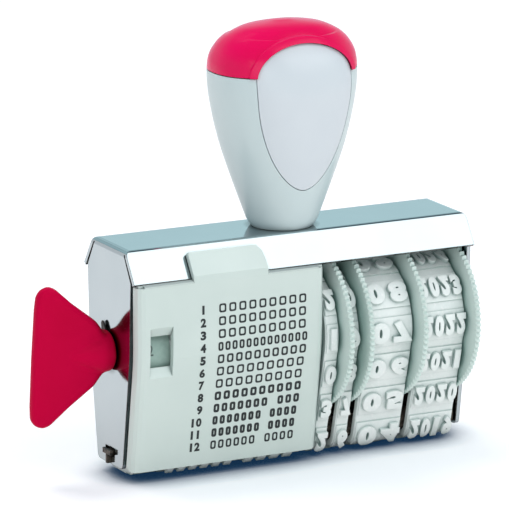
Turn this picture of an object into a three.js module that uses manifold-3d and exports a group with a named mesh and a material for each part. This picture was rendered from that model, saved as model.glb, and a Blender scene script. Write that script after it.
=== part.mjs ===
// Hand-held dater with a phrase band: a pressed steel frame carries five rubber printing bands,
// four of them set by thumb wheels and the wide one by a winged knob, under a moulded handle.
// Millimetres, +Z up. The printing face lies on z = 0, the frame runs along X, its front faces -Y.
import * as THREE from 'three';
import { mergeVertices } from 'three/addons/utils/BufferGeometryUtils.js';
import Module from 'manifold-3d';

const wasm = await Module();
wasm.setup();

// Pressed frame: top, two sloping aprons and two cheeks bent from one sheet
const frameLength = 74;
const sheet = 0.8;
const apronDrop = 5.8;
const footHeight = 2.4;
const topWidth = 14.4;
const shoulderWidth = 22;
const footWidth = 10.8;
const bendRadius = 1.2;
const footRadius = 1.2;
const seamGap = 0.25;
const waistDepth = 1.6;
const waistRadius = 0.5;

// Axle of the printing wheels
const axleRadius = 1.5;
const axleHeadRadius = 2.6;
const axleHeadHeight = 1;
const turnGap = 0.3;
const keyGap = 0.1;

// Printing bands
const bandThickness = 1.2;
const typeHeight = 1.1;
const typeLine = 4;
const typeMargin = 0.3;
const typeSink = 0.3;
const characterGap = 0.5;
const dateLineCount = 13;
const phraseLineCount = 12;
const yearBandWidth = 10;
const monthBandWidth = 10.2;
const unitsBandWidth = 2.8;
const tensBandWidth = 2.9;

// Platen that the bands run over
const platenWidth = 10;
const platenCorner = 1.5;
const platenHeight = 4.6;
const platenSheet = 1;
const runGap = 0.3;
const tongueThickness = 0.7;
const tongueHeight = 2.8;
const tongueReach = 0.6;
const tongueHeadWidth = 3.4;
const tongueHeadHeight = 1;
const tongueRoot = 3;
const slotGap = 0.25;
const tongueGap = 0.35;

// Thumb wheels
const dateHubRadius = 10.2;
const hubWall = 1.4;
const bossWall = 1.6;
const discRadius = 16.2;
const discThickness = 1;
const discFootGap = 1.6;
const discTopGap = 3.8;
const toothDepth = 0.5;
const toothCount = 48;
const bandGap = 0.25;
const wheelGap = 0.4;
const endGap = 0.35;

// Phrase drum, its band and the knob that turns them
const phraseHubRadius = 8;
const drumWebThickness = 1.4;
const numberWidth = 1.9;
const numberInset = 1.6;
const phraseInset = 7;
const springWasherThickness = 0.35;
const springWasherRadius = 3.6;
const knobGap = 0.9;
const knobWasherThickness = 0.3;
const knobWasherRadius = 3.3;
const knobHubRadius = 4.3;
const knobHubLength = 5.5;
const knobReach = 16.4;
const knobHeight = 29.6;
const knobNeckHeight = 7.6;
const knobNeckPlace = 1.4;
const knobShoulderPlace = 3.1;
const knobShoulderHeight = 14;
const knobFlankShares = [0.51, 0.5];
const knobEdgeBulge = 0.4;
const knobThickness = 4;
const knobEdgeRadius = 1.2;
const knobTipRun = 3.2;
const knobTipDrop = 3.4;
const knobTipRadius = 3.4;
const knobNeckRadius = 0.6;
const knobShoulderRadius = 3;
const knobFlankRadius = 12;
const knobLean = THREE.MathUtils.degToRad(7);
const axleInKnob = 4;

// Moulded cover in front of the phrase band
const coverWall = 1.2;
const coverStep = 1.2;
const coverFootStep = 3.3;
const coverInset = 0.3;
const coverGap = 0.5;
const coverTopGap = 0.6;
const coverReturn = 2.4;
const coverEdgeRadius = 1.5;
const coverCornerRadius = 0.8;
const coverBend = 3;
const windowWidth = 4.85;
const windowHeight = 6.2;
const windowBevel = 1.85;
const windowInset = 2.5;
const windowLift = 1.5;
const tabWidth = 15.9;
const tabPlace = 11.8;
const tabThickness = 1.1;
const tabGap = 0.2;
const tabReach = 4.9;
const tabRadius = 1.6;
const tabLeftRadius = 0.5;
const tabRoot = 3;
const catchReach = 1.5;
const catchDrop = 1.3;

// Handle
const handleX = 0.2;
const handleHeight = 40.4;
const handleWidth = 29.4;
const handleDepth = 24.8;
const handleBaseWidth = 13;
const handleBroadShare = 0.7525;
const handleOutlineShares = [[0.845, 0.428], [1, handleBroadShare], [0.915, 0.891], [0.6, 0.97], [0.12, 1]];
const handleLeanShares = [0.64, 0.76];
const handleWall = 2.4;
const handleFloor = 3;
const capJointRise = 0.6;
const jointGap = 0.15;
const capSkirt = 3;
const capSkirtWall = 1.1;
const insetThickness = 1;
const insetGap = 0.2;
const insetWidth = 20.2;
const insetBroadRise = 0.2;
const insetTopDrop = 3.4;
const insetFootHeight = 8.5;
const pegRadius = 1;
const pegPlace = 4.6;
const pegLength = 1.6;
const bossRadius = 3.4;
const bossHeight = 15;
const screwRadius = 1.5;
const screwLength = 11;
const screwHeadRadius = 2.8;
const screwHeadHeight = 1.7;
const screwSlotWidth = 0.8;
const screwSlotDepth = 0.8;
const screwWasherRadius = 3.4;
const screwWasherThickness = 0.6;
const restGap = 0.05;

// How finely round forms are faceted, and one overrun for all cuts
const roundSteps = 28;
const boreSteps = 16;
const filletSteps = 3;
const handleSteps = 28;
const handleRings = 14;
const cavityRings = 7;
const overrun = 1;

// Places that follow from the sizes
const cheekOuter = frameLength / 2;
const cheekInner = cheekOuter - sheet;
const boreRadius = axleRadius + turnGap;
const bossOuter = boreRadius + bossWall;
const platenFoot = typeHeight + bandThickness + runGap;
const platenTop = platenFoot + platenHeight;
const axleHeight = platenTop + discFootGap + discRadius;
const frameHeight = axleHeight + discRadius + discTopGap + sheet;
const shoulderHeight = frameHeight - apronDrop;
const coverFront = shoulderWidth / 2 + coverStep;
const coverFootFront = footWidth / 2 + coverFootStep;
const cornerY = platenWidth / 2 - platenCorner;
const cornerZ = platenFoot + platenCorner;
const handleBroadHeight = handleHeight * handleBroadShare;
const capJoint = handleBroadHeight + capJointRise;
const insetBroadHeight = handleBroadHeight + insetBroadRise;
const insetTopHeight = handleHeight - insetTopDrop;

// Turns a closed three.js geometry into a solid, with its faces pointing out.
function solid(geometry) {
  const bare = new THREE.BufferGeometry();
  bare.setAttribute('position', geometry.attributes.position.clone());
  const count = geometry.attributes.position.count;
  const order = geometry.index ? Array.from(geometry.index.array) : Array.from({ length: count }, (_, i) => i);
  bare.setIndex(order);
  const merged = mergeVertices(bare);
  const vertProperties = new Float32Array(merged.attributes.position.array);
  const corner = (i) => new THREE.Vector3().fromArray(vertProperties, i * 3);
  const triangles = [];
  let volume = 0;
  for (let i = 0; i < merged.index.count; i += 3) {
    const [a, b, c] = [0, 1, 2].map((k) => merged.index.getX(i + k));
    if (a === b || b === c || a === c) continue;
    triangles.push([a, b, c]);
    volume += corner(a).dot(corner(b).cross(corner(c)));
  }
  const triVerts = new Uint32Array(triangles.flatMap(([a, b, c]) => (volume > 0 ? [a, b, c] : [a, c, b])));
  return new wasm.Manifold(new wasm.Mesh({ numProp: 3, vertProperties, triVerts }));
}

// Gives a solid back as a three.js geometry.
function geometryOf(manifold) {
  const mesh = manifold.getMesh();
  const geometry = new THREE.BufferGeometry();
  geometry.setAttribute('position', new THREE.BufferAttribute(new Float32Array(mesh.vertProperties), 3));
  geometry.setIndex(new THREE.BufferAttribute(new Uint32Array(mesh.triVerts), 1));
  geometry.computeVertexNormals();
  return geometry;
}

// A straight-sided outline whose corners are rounded, each by its own radius.
function filleted(points, radii) {
  const at = (i) => new THREE.Vector2(...points[(i + points.length) % points.length]);
  const shape = new THREE.Shape();
  points.forEach((_, i) => {
    const [before, here, after] = [at(i - 1), at(i), at(i + 1)];
    const back = before.clone().sub(here);
    const on = after.clone().sub(here);
    const bend = Math.abs(back.angleTo(on));
    const radius = Array.isArray(radii) ? radii[i] : radii;
    const longest = Math.min(back.length(), on.length()) / 2;
    const trim = Math.min(radius / Math.tan(bend / 2), longest);
    const start = here.clone().addScaledVector(back.normalize(), trim);
    const end = here.clone().addScaledVector(on.normalize(), trim);
    if (i === 0) shape.moveTo(start.x, start.y);
    else shape.lineTo(start.x, start.y);
    if (trim > 0) shape.quadraticCurveTo(here.x, here.y, end.x, end.y);
  });
  shape.closePath();
  return shape;
}

function polygon(points) {
  return new THREE.Shape(points.map(([u, v]) => new THREE.Vector2(u, v)));
}

function rectangle(u0, v0, u1, v1) {
  return polygon([[u0, v0], [u1, v0], [u1, v1], [u0, v1]]);
}

function extruded(shape, depth) {
  return new THREE.ExtrudeGeometry(shape, { depth, bevelEnabled: false, curveSegments: filletSteps });
}

// A section drawn in Y and Z, drawn out along X.
function alongX(shape, x0, x1) {
  const geometry = extruded(shape, x1 - x0);
  const basis = new THREE.Matrix4().makeBasis(
    new THREE.Vector3(0, 1, 0), new THREE.Vector3(0, 0, 1), new THREE.Vector3(1, 0, 0),
  );
  geometry.applyMatrix4(basis);
  return solid(geometry.translate(x0, 0, 0));
}

// An outline drawn in X and Z, drawn out along Y.
function alongY(shape, y0, y1) {
  const geometry = extruded(shape, y1 - y0).rotateX(Math.PI / 2);
  return solid(geometry.translate(0, y1, 0));
}

// An outline drawn in X and Y, drawn out along Z.
function alongZ(shape, z0, z1) {
  return solid(extruded(shape, z1 - z0).translate(0, 0, z0));
}

// A profile of [place along the axle, radius] points, revolved round the axle.
function revolved(profile, steps = roundSteps) {
  const points = profile.map(([x, r]) => new THREE.Vector2(r, x));
  const closed = profile[0][1] > 0 ? [...points, points[0].clone()] : points;
  const geometry = new THREE.LatheGeometry(closed, steps).rotateZ(-Math.PI / 2);
  return solid(geometry.translate(0, 0, axleHeight));
}

function roundBar(x0, x1, radius, steps = boreSteps) {
  return revolved([[x0, 0], [x0, radius], [x1, radius], [x1, 0]], steps);
}

function tube(x0, x1, inner, outer, steps = roundSteps) {
  return revolved([[x0, inner], [x0, outer], [x1, outer], [x1, inner]], steps);
}

// An upright round bar at the handle's axis.
function upright(z0, z1, radius, x = handleX, steps = boreSteps) {
  const geometry = new THREE.CylinderGeometry(radius, radius, z1 - z0, steps).rotateX(Math.PI / 2);
  return solid(geometry.translate(x, 0, (z0 + z1) / 2));
}

// Rings of equal point counts, skinned and closed at both ends.
function lofted(rings) {
  const size = rings[0].length;
  const positions = rings.flat(2);
  const index = [];
  for (let r = 0; r + 1 < rings.length; r += 1) {
    for (let i = 0; i < size; i += 1) {
      const next = (i + 1) % size;
      const [a, b, c, d] = [r * size + i, r * size + next, (r + 1) * size + next, (r + 1) * size + i];
      index.push(a, b, c, a, c, d);
    }
  }
  const capOf = (ring) => THREE.ShapeUtils.triangulateShape(ring.map(([x, y]) => new THREE.Vector2(x, y)), []);
  const last = (rings.length - 1) * size;
  capOf(rings[0]).forEach(([a, b, c]) => index.push(a, c, b));
  capOf(rings[rings.length - 1]).forEach(([a, b, c]) => index.push(last + a, last + b, last + c));
  const geometry = new THREE.BufferGeometry();
  geometry.setAttribute('position', new THREE.Float32BufferAttribute(positions, 3));
  geometry.setIndex(index);
  return solid(geometry);
}

// Finishes: colour, roughness and how metallic each material is
const finish = (color, roughness, metalness) => new THREE.MeshStandardMaterial({ color, roughness, metalness });
const platedSteel = finish('#c3cbce', 0.12, 1);
const drawnSteel = finish('#b4b8ba', 0.3, 1);
const bandRubber = finish('#c3cec9', 0.7, 0);
const wheelPlastic = finish('#bccac7', 0.45, 0);
const coverPlastic = finish('#c6d4d1', 0.4, 0);
const handlePlastic = finish('#c6d3d8', 0.35, 0);
const insetPlastic = finish('#d3dee5', 0.35, 0);
const redPlastic = finish('#cf0f45', 0.3, 0);

const stamp = new THREE.Group();

function add(name, manifold, material) {
  const mesh = new THREE.Mesh(geometryOf(manifold), material);
  mesh.name = name;
  stamp.add(mesh);
}

// The date wheels stand side by side, from the right cheek inwards; each carries its band to its left.
const dateColumns = [
  { name: 'year', width: yearBandWidth, characters: 4 },
  { name: 'month', width: monthBandWidth, characters: 3 },
  { name: 'day_units', width: unitsBandWidth, characters: 1 },
  { name: 'day_tens', width: tensBandWidth, characters: 1 },
];
let freeEdge = cheekInner - endGap;
for (const column of dateColumns) {
  column.discRight = freeEdge;
  column.discLeft = column.discRight - discThickness;
  column.bandRight = column.discLeft - bandGap;
  column.bandLeft = column.bandRight - column.width;
  freeEdge = column.bandLeft - wheelGap;
}
const firstDateEdge = dateColumns[dateColumns.length - 1].bandLeft;

// The cover fills the front from the left cheek to the first date band, and the phrase band fills the cover.
const coverLeft = -cheekOuter + coverInset;
const coverRight = firstDateEdge - coverGap;
const phraseLeft = coverLeft + coverWall + turnGap;
const phraseRight = coverRight - coverWall - turnGap;

// Frame: the aprons run over the cheeks' upper edges, a seam away from them
function apronUp() {
  return new THREE.Vector2((topWidth - shoulderWidth) / 2, frameHeight - shoulderHeight).normalize();
}

function cheekOutline() {
  const axleHalf = THREE.MathUtils.mapLinear(
    axleHeight, footHeight, shoulderHeight, footWidth / 2, shoulderWidth / 2,
  );
  const half = [
    [footWidth / 2, footHeight],
    [axleHalf, axleHeight],
    [shoulderWidth / 2 - waistDepth, shoulderHeight],
    [topWidth / 2 - (sheet + seamGap) / apronUp().y, frameHeight],
  ];
  const halfRadii = [footRadius, bendRadius, waistRadius, 0];
  const mirrored = half.map(([y, z]) => [-y, z]).reverse();
  return filleted([...half, ...mirrored], [...halfRadii, ...[...halfRadii].reverse()]);
}

function roofSection() {
  const foot = new THREE.Vector2(shoulderWidth / 2, shoulderHeight);
  const up = apronUp();
  const innerFoot = foot.clone().addScaledVector(new THREE.Vector2(-up.y, up.x), sheet);
  const innerRun = (frameHeight - sheet - innerFoot.y) / up.y;
  const innerTop = innerFoot.clone().addScaledVector(up, innerRun);
  const half = [[foot.x, foot.y], [topWidth / 2, frameHeight]];
  const innerHalf = [[innerTop.x, innerTop.y], [innerFoot.x, innerFoot.y]];
  const left = (points) => points.map(([y, z]) => [-y, z]).reverse();
  const outline = [...half, ...left(half), ...left(innerHalf), ...innerHalf];
  return filleted(outline, [0, bendRadius, bendRadius, 0, 0, 0, 0, 0]);
}

function buildFrame() {
  const bentStrip = filleted(
    [
      [-cheekOuter, footHeight - overrun], [-cheekOuter, frameHeight],
      [cheekOuter, frameHeight], [cheekOuter, footHeight - overrun],
      [cheekInner, footHeight - overrun], [cheekInner, frameHeight - sheet],
      [-cheekInner, frameHeight - sheet], [-cheekInner, footHeight - overrun],
    ],
    [0, bendRadius, bendRadius, 0, 0, bendRadius - sheet, bendRadius - sheet, 0],
  );
  const strip = alongY(bentStrip, -shoulderWidth / 2, shoulderWidth / 2);
  const ends = strip.intersect(alongX(cheekOutline(), -cheekOuter, cheekOuter));
  const sideView = filleted(
    [
      [-cheekOuter, footHeight], [-cheekOuter, frameHeight],
      [cheekOuter, frameHeight], [cheekOuter, footHeight],
    ],
    [0, bendRadius, bendRadius, 0],
  );
  const roof = alongX(roofSection(), -cheekOuter, cheekOuter);
  let frame = ends.add(roof.intersect(alongY(sideView, -shoulderWidth / 2, shoulderWidth / 2)));
  frame = frame.subtract(roundBar(-cheekOuter - overrun, cheekOuter + overrun, boreRadius));
  const stemHalf = tongueThickness / 2 + tongueGap;
  const headHalf = tongueHeadWidth / 2 + tongueGap;
  const slotTop = platenFoot + tongueHeight + tongueGap;
  const headFoot = slotTop - tongueHeadHeight - 2 * tongueGap;
  const slot = polygon([
    [-stemHalf, footHeight - overrun], [stemHalf, footHeight - overrun], [stemHalf, headFoot],
    [headHalf, headFoot], [headHalf, slotTop], [-headHalf, slotTop], [-headHalf, headFoot], [-stemHalf, headFoot],
  ]);
  frame = frame.subtract(alongX(slot, -cheekOuter - overrun, cheekOuter + overrun));
  const plateFoot = frameHeight - sheet - overrun;
  const plateTop = frameHeight + overrun;
  frame = frame.subtract(upright(plateFoot, plateTop, screwRadius + slotGap));
  for (const side of [-1, 1]) {
    frame = frame.subtract(upright(plateFoot, plateTop, pegRadius + slotGap, handleX + side * pegPlace));
  }
  return frame;
}
add('frame', buildFrame(), platedSteel);

// Platen: a folded channel whose tongues are staked through slots in the cheeks
function buildPlaten() {
  const [half, top] = [platenWidth / 2, platenTop];
  const innerHalf = half - platenSheet;
  const innerFoot = platenFoot + platenSheet;
  const innerCorner = platenCorner - platenSheet;
  const section = filleted(
    [
      [-half, top], [-half, platenFoot], [half, platenFoot], [half, top],
      [innerHalf, top], [innerHalf, innerFoot], [-innerHalf, innerFoot], [-innerHalf, top],
    ],
    [0, platenCorner, platenCorner, 0, 0, innerCorner, innerCorner, 0],
  );
  const end = cheekInner - slotGap;
  let platen = alongX(section, -end, end);
  const tongueTop = platenFoot + tongueHeight;
  const headFoot = tongueTop - tongueHeadHeight;
  const tongueEnd = cheekOuter + slotGap + tongueReach;
  for (const side of [-1, 1]) {
    const span = (a, b) => (side > 0 ? [a, b] : [-b, -a]);
    const stem = rectangle(-tongueThickness / 2, platenFoot, tongueThickness / 2, tongueTop);
    const head = rectangle(-tongueHeadWidth / 2, headFoot, tongueHeadWidth / 2, tongueTop);
    platen = platen.add(alongX(stem, ...span(end - tongueRoot, tongueEnd)));
    platen = platen.add(alongX(head, ...span(cheekOuter + slotGap, tongueEnd)));
  }
  return platen;
}
add('platen', buildPlaten(), drawnSteel);

// Belts: each runs over its hub, down both sides and under the platen. A belt is followed by the distance
// along the outer face of its rubber base, from the middle of the printing line, and by the lift above it.
function beltOver(hubRadius) {
  const hub = hubRadius + runGap + bandThickness;
  const corner = platenCorner + runGap + bandThickness;
  const rise = axleHeight - cornerZ;
  const tilt = Math.asin((hub - corner) / Math.hypot(cornerY, rise)) - Math.atan2(cornerY, rise);
  const bend = Math.PI / 2 - tilt;
  const run = Math.sqrt(cornerY ** 2 + rise ** 2 - (hub - corner) ** 2);
  const wrap = Math.PI / 2 + tilt;
  const marks = [cornerY, cornerY + corner * bend, cornerY + corner * bend + run];
  const length = 2 * (marks[2] + hub * wrap);
  return { hub, corner, tilt, bend, run, wrap, marks, length };
}

function beltPoint(belt, distance, lift) {
  const side = distance < 0 ? -1 : 1;
  const s = Math.abs(distance);
  const [flatEnd, bendEnd, runEnd] = belt.marks;
  const [cos, sin] = [Math.cos(belt.tilt), Math.sin(belt.tilt)];
  if (s <= flatEnd) return [side * s, cornerZ - belt.corner - lift];
  if (s <= bendEnd) {
    const turn = (s - flatEnd) / belt.corner;
    const reach = belt.corner + lift;
    return [side * (cornerY + reach * Math.sin(turn)), cornerZ - reach * Math.cos(turn)];
  }
  if (s <= runEnd) {
    const [reach, up] = [belt.corner + lift, s - bendEnd];
    return [side * (cornerY + reach * cos + up * sin), cornerZ - reach * sin + up * cos];
  }
  const turn = (s - runEnd) / belt.hub - belt.tilt;
  const reach = belt.hub + lift;
  return [side * reach * Math.cos(turn), axleHeight + reach * Math.sin(turn)];
}

// The distances at which a belt's outline needs a point: closely on the arcs, at the ends of the straights.
function beltStations(belt) {
  const [flatEnd, bendEnd, runEnd] = belt.marks;
  const cornerStops = 4;
  const hubStops = 11;
  const half = [flatEnd];
  for (let i = 1; i <= cornerStops; i += 1) half.push(flatEnd + (bendEnd - flatEnd) * (i / cornerStops));
  for (let i = 0; i < hubStops; i += 1) half.push(runEnd + (belt.length / 2 - runEnd) * (i / hubStops));
  return [...half, belt.length / 2, ...half.map((s) => -s).reverse()];
}

function beltShape(belt, inner, outer) {
  const stations = beltStations(belt);
  const shape = polygon(stations.map((s) => beltPoint(belt, s, outer)));
  shape.holes.push(new THREE.Path(stations.map((s) => new THREE.Vector2(...beltPoint(belt, s, inner)))));
  return shape;
}

// The raised block of one character, bent with the belt where the belt bends.
function typeBlock(belt, line, lineCount, x0, x1) {
  const pitch = belt.length / lineCount;
  const turns = line > lineCount / 2 ? line - lineCount : line;
  const middle = turns * pitch;
  const start = middle - typeLine / 2;
  const end = middle + typeLine / 2;
  const [flatEnd, bendEnd] = belt.marks;
  const reach = Math.max(Math.abs(start), Math.abs(end));
  const nearest = start * end > 0 ? Math.min(Math.abs(start), Math.abs(end)) : 0;
  const steps = reach > flatEnd && nearest < bendEnd ? 3 : 1;
  const wrapTo = (s) => (Math.abs(s) > belt.length / 2 ? s - Math.sign(s) * belt.length : s);
  const row = (lift) => Array.from({ length: steps + 1 }, (_, i) => {
    const s = start + (end - start) * (i / steps);
    return beltPoint(belt, wrapTo(s), lift);
  });
  return alongX(polygon([...row(typeHeight), ...row(-typeSink).reverse()]), x0, x1);
}

function buildBand(belt, left, right, lineCount, blocksOf) {
  let band = alongX(beltShape(belt, -bandThickness, 0), left, right);
  for (let line = 0; line < lineCount; line += 1) {
    for (const [x0, x1] of blocksOf(line)) band = band.add(typeBlock(belt, line, lineCount, x0, x1));
  }
  return band;
}

const dateBelt = beltOver(dateHubRadius);
for (const column of dateColumns) {
  const cell = (column.width - 2 * typeMargin + characterGap) / column.characters;
  const blocks = Array.from({ length: column.characters }, (_, i) => {
    const left = column.bandLeft + typeMargin + i * cell;
    return [left, left + cell - characterGap];
  });
  const band = buildBand(dateBelt, column.bandLeft, column.bandRight, dateLineCount, () => blocks);
  add(`${column.name}_band`, band, bandRubber);
}

// Thumb wheels: a toothed disc with the hub and the boss moulded on its left side
function toothedDisc() {
  const steps = 2 * toothCount;
  const points = Array.from({ length: steps }, (_, i) => {
    const radius = i % 2 ? discRadius : discRadius - toothDepth;
    const angle = (i / steps) * 2 * Math.PI;
    return [radius * Math.cos(angle), axleHeight + radius * Math.sin(angle)];
  });
  return polygon(points);
}

for (const column of dateColumns) {
  let wheel = alongX(toothedDisc(), column.discLeft, column.discRight);
  wheel = wheel.add(tube(column.bandLeft, column.discRight, dateHubRadius - hubWall, dateHubRadius));
  wheel = wheel.add(roundBar(column.bandLeft, column.discRight, bossOuter));
  wheel = wheel.subtract(roundBar(column.bandLeft - overrun, column.discRight + overrun, boreRadius));
  add(`${column.name}_wheel`, wheel, wheelPlastic);
}

// Phrase drum: a tube and a boss on one web, open at both ends; the boss reaches to the first date wheel
function buildPhraseDrum() {
  const bossEnd = firstDateEdge - wheelGap;
  let drum = tube(phraseLeft, phraseRight, phraseHubRadius - hubWall, phraseHubRadius);
  drum = drum.add(roundBar(phraseLeft, bossEnd, bossOuter));
  const webLeft = (phraseLeft + phraseRight - drumWebThickness) / 2;
  drum = drum.add(roundBar(webLeft, webLeft + drumWebThickness, phraseHubRadius - hubWall / 2, roundSteps));
  return drum.subtract(roundBar(phraseLeft - overrun, bossEnd + overrun, axleRadius + keyGap));
}
add('phrase_drum', buildPhraseDrum(), wheelPlastic);

// Phrase band: a number at the left edge of each line, and a phrase of its own length in two words
const phraseBelt = beltOver(phraseHubRadius);
const phraseLengthShares = [1, 0.86, 0.94, 0.78, 0.9, 0.7, 0.82, 0.96, 0.74, 0.88, 0.8, 0.92];
const wordShare = 0.55;

function phraseBlocks(line) {
  const numberLeft = phraseLeft + numberInset;
  const left = phraseLeft + phraseInset;
  const length = (phraseRight - typeMargin - left) * phraseLengthShares[line % phraseLengthShares.length];
  const split = left + length * wordShare;
  return [
    [numberLeft, numberLeft + numberWidth],
    [left, split - characterGap],
    [split + characterGap, left + length],
  ];
}
const phraseBand = buildBand(phraseBelt, phraseLeft, phraseRight, phraseLineCount, phraseBlocks);
add('phrase_band', phraseBand, bandRubber);

// Axle: headed outside the right cheek, keyed into the drum, its left end held in the knob
const axleEnd = -cheekOuter - knobGap - axleInKnob;
function buildAxle() {
  const headFoot = cheekOuter + turnGap;
  const headTop = headFoot + axleHeadHeight;
  return revolved([
    [axleEnd, 0], [axleEnd, axleRadius], [headFoot, axleRadius], [headFoot, axleHeadRadius],
    [headFoot + axleHeadHeight / 2, axleHeadRadius], [headTop, axleRadius], [headTop, 0],
  ], boreSteps);
}
add('wheel_axle', buildAxle(), drawnSteel);

function ringOnAxle(x0, thickness, radius) {
  return tube(x0, x0 + thickness, boreRadius, radius, boreSteps);
}
const springRoom = cheekInner + phraseLeft - springWasherThickness;
const springWasher = ringOnAxle(-cheekInner + springRoom / 2, springWasherThickness, springWasherRadius);
add('spring_washer', springWasher, drawnSteel);
const knobWasherLeft = -cheekOuter - (knobGap + knobWasherThickness) / 2;
add('knob_washer', ringOnAxle(knobWasherLeft, knobWasherThickness, knobWasherRadius), drawnSteel);

// Knob: a flat wing with rounded edges on a round hub, leaning a little
function buildKnob() {
  const face = -cheekOuter - knobGap;
  const [neckHalf, shoulderHalf, halfHeight] = [knobNeckHeight / 2, knobShoulderHeight / 2, knobHeight / 2];
  const neckX = face - knobNeckPlace;
  const shoulderX = face - knobShoulderPlace;
  const rootX = face - knobNeckPlace / 2;
  const edgeX = -cheekOuter - knobReach;
  const tipX = edgeX + knobEdgeBulge;
  const [alongShare, upShare] = knobFlankShares;
  const flankX = THREE.MathUtils.lerp(shoulderX, edgeX + knobTipRun, alongShare);
  const flankHalf = THREE.MathUtils.lerp(shoulderHalf, halfHeight, upShare);
  const outline = filleted(
    [
      [rootX, -neckHalf], [neckX, -neckHalf], [shoulderX, -shoulderHalf], [flankX, -flankHalf],
      [edgeX + knobTipRun, -halfHeight], [tipX, knobTipDrop - halfHeight], [edgeX, 0],
      [tipX, halfHeight - knobTipDrop], [edgeX + knobTipRun, halfHeight], [flankX, flankHalf],
      [shoulderX, shoulderHalf], [neckX, neckHalf], [rootX, neckHalf],
    ],
    [
      0, knobNeckRadius, knobShoulderRadius, knobFlankRadius, knobTipRadius, knobTipRadius, knobHeight,
      knobTipRadius, knobTipRadius, knobFlankRadius, knobShoulderRadius, knobNeckRadius, 0,
    ],
  );
  const wing = new THREE.ExtrudeGeometry(outline, {
    depth: knobThickness - 2 * knobEdgeRadius,
    bevelThickness: knobEdgeRadius,
    bevelSize: knobEdgeRadius,
    bevelOffset: -knobEdgeRadius,
    bevelSegments: 2,
    curveSegments: filletSteps,
  });
  wing.rotateX(Math.PI / 2).translate(0, knobThickness / 2 - knobEdgeRadius, axleHeight);
  const hubEnd = face - knobHubLength;
  const hub = revolved([
    [hubEnd, 0], [hubEnd, knobHubRadius / 2], [hubEnd + knobHubRadius / 2, knobHubRadius],
    [face - knobEdgeRadius / 2, knobHubRadius], [face, knobHubRadius - knobEdgeRadius / 2], [face, 0],
  ], roundSteps);
  const socket = roundBar(axleEnd - keyGap, face + overrun, axleRadius + keyGap);
  const upright = solid(wing).add(hub).subtract(socket);
  const onAxis = upright.translate([0, 0, -axleHeight]);
  return onAxis.rotate([THREE.MathUtils.radToDeg(knobLean), 0, 0]).translate([0, 0, axleHeight]);
}
add('knob', buildKnob(), redPlastic);

// Cover: a tray whose front stands upright down to the axle and then slopes in, with rounded side edges
function coverFrontAt(z) {
  const slope = (coverFront - coverFootFront) / (axleHeight - footHeight);
  const fall = axleHeight - z;
  if (fall <= -coverBend) return coverFront;
  if (fall >= coverBend) return coverFront - slope * fall;
  return coverFront - slope * ((fall + coverBend) ** 2) / (4 * coverBend);
}

function coverSection(z) {
  const front = -coverFrontAt(z);
  const side = (edge, inward) => {
    const centre = [edge + inward * coverEdgeRadius, front + coverEdgeRadius];
    const arc = (radius) => Array.from({ length: filletSteps + 1 }, (_, i) => {
      const turn = (Math.PI / 2) * (i / filletSteps);
      return [centre[0] - inward * radius * Math.cos(turn), centre[1] - radius * Math.sin(turn), z];
    });
    return { outer: arc(coverEdgeRadius), inner: arc(coverEdgeRadius - coverWall) };
  };
  const [left, right] = [side(coverLeft, 1), side(coverRight, -1)];
  const back = front + coverReturn;
  const innerLeft = [coverLeft + coverWall, back, z];
  const innerRight = [coverRight - coverWall, back, z];
  return [
    [coverLeft, back, z], ...left.outer, ...right.outer.reverse(), [coverRight, back, z],
    innerRight, ...right.inner, ...left.inner.reverse(), innerLeft,
  ];
}

// The tab laps over the apron outside and a catch grips it inside, both as one section.
function clipSection(coverTop) {
  const foot = new THREE.Vector2(-shoulderWidth / 2, shoulderHeight);
  const top = new THREE.Vector2(-topWidth / 2, frameHeight);
  const up = top.clone().sub(foot).normalize();
  const out = new THREE.Vector2(-up.y, up.x);
  const at = (along, off) => {
    const point = foot.clone().addScaledVector(up, along).addScaledVector(out, off);
    return [point.x, point.y];
  };
  const innerFace = -coverFront + coverWall;
  const outerOff = tabGap + tabThickness;
  const catchOff = -sheet - tabGap;
  const tab = polygon([
    [-coverFront, coverTop - tabRoot], [-coverFront, coverTop], at(0, outerOff), at(tabReach, outerOff),
    at(tabReach, tabGap), at(0, tabGap), [innerFace, coverTop], [innerFace, coverTop - tabRoot],
  ]);
  const shelfTop = foot.y - catchDrop + tabGap;
  const hookBack = at(catchReach, catchOff - tabThickness);
  const hook = polygon([
    [innerFace - coverWall / 2, shelfTop - tabThickness], [hookBack[0], shelfTop - tabThickness], hookBack,
    at(catchReach, catchOff), [at(0, catchOff)[0], shelfTop], [innerFace - coverWall / 2, shelfTop],
  ]);
  return { tab, hook };
}

function buildCover() {
  const coverTop = shoulderHeight - coverTopGap;
  const levels = [footHeight, axleHeight - coverBend, axleHeight, axleHeight + coverBend, coverTop];
  const deep = coverFront + coverReturn;
  const front = filleted(
    [[coverLeft, footHeight], [coverRight, footHeight], [coverRight, coverTop], [coverLeft, coverTop]],
    [coverCornerRadius, coverCornerRadius, 0, 0],
  );
  let cover = lofted(levels.map(coverSection)).intersect(alongY(front, -deep, 0));
  const tabLeft = coverLeft + tabPlace;
  const tabTop = frameHeight + overrun;
  const { tab, hook } = clipSection(coverTop);
  const tabFace = filleted(
    [
      [tabLeft, coverTop - tabRoot], [tabLeft + tabWidth, coverTop - tabRoot],
      [tabLeft + tabWidth, tabTop - overrun / 2], [tabLeft, tabTop - overrun / 2],
    ],
    0,
  );
  const tabSolid = alongX(tab, tabLeft, tabLeft + tabWidth).intersect(alongY(tabFace, -deep, 0));
  cover = cover.add(roundedTab(tabSolid, tabLeft));
  cover = cover.add(alongX(hook, tabLeft + tabRadius, tabLeft + tabWidth - tabRadius));
  return cover.subtract(windowCut());
}

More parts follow.
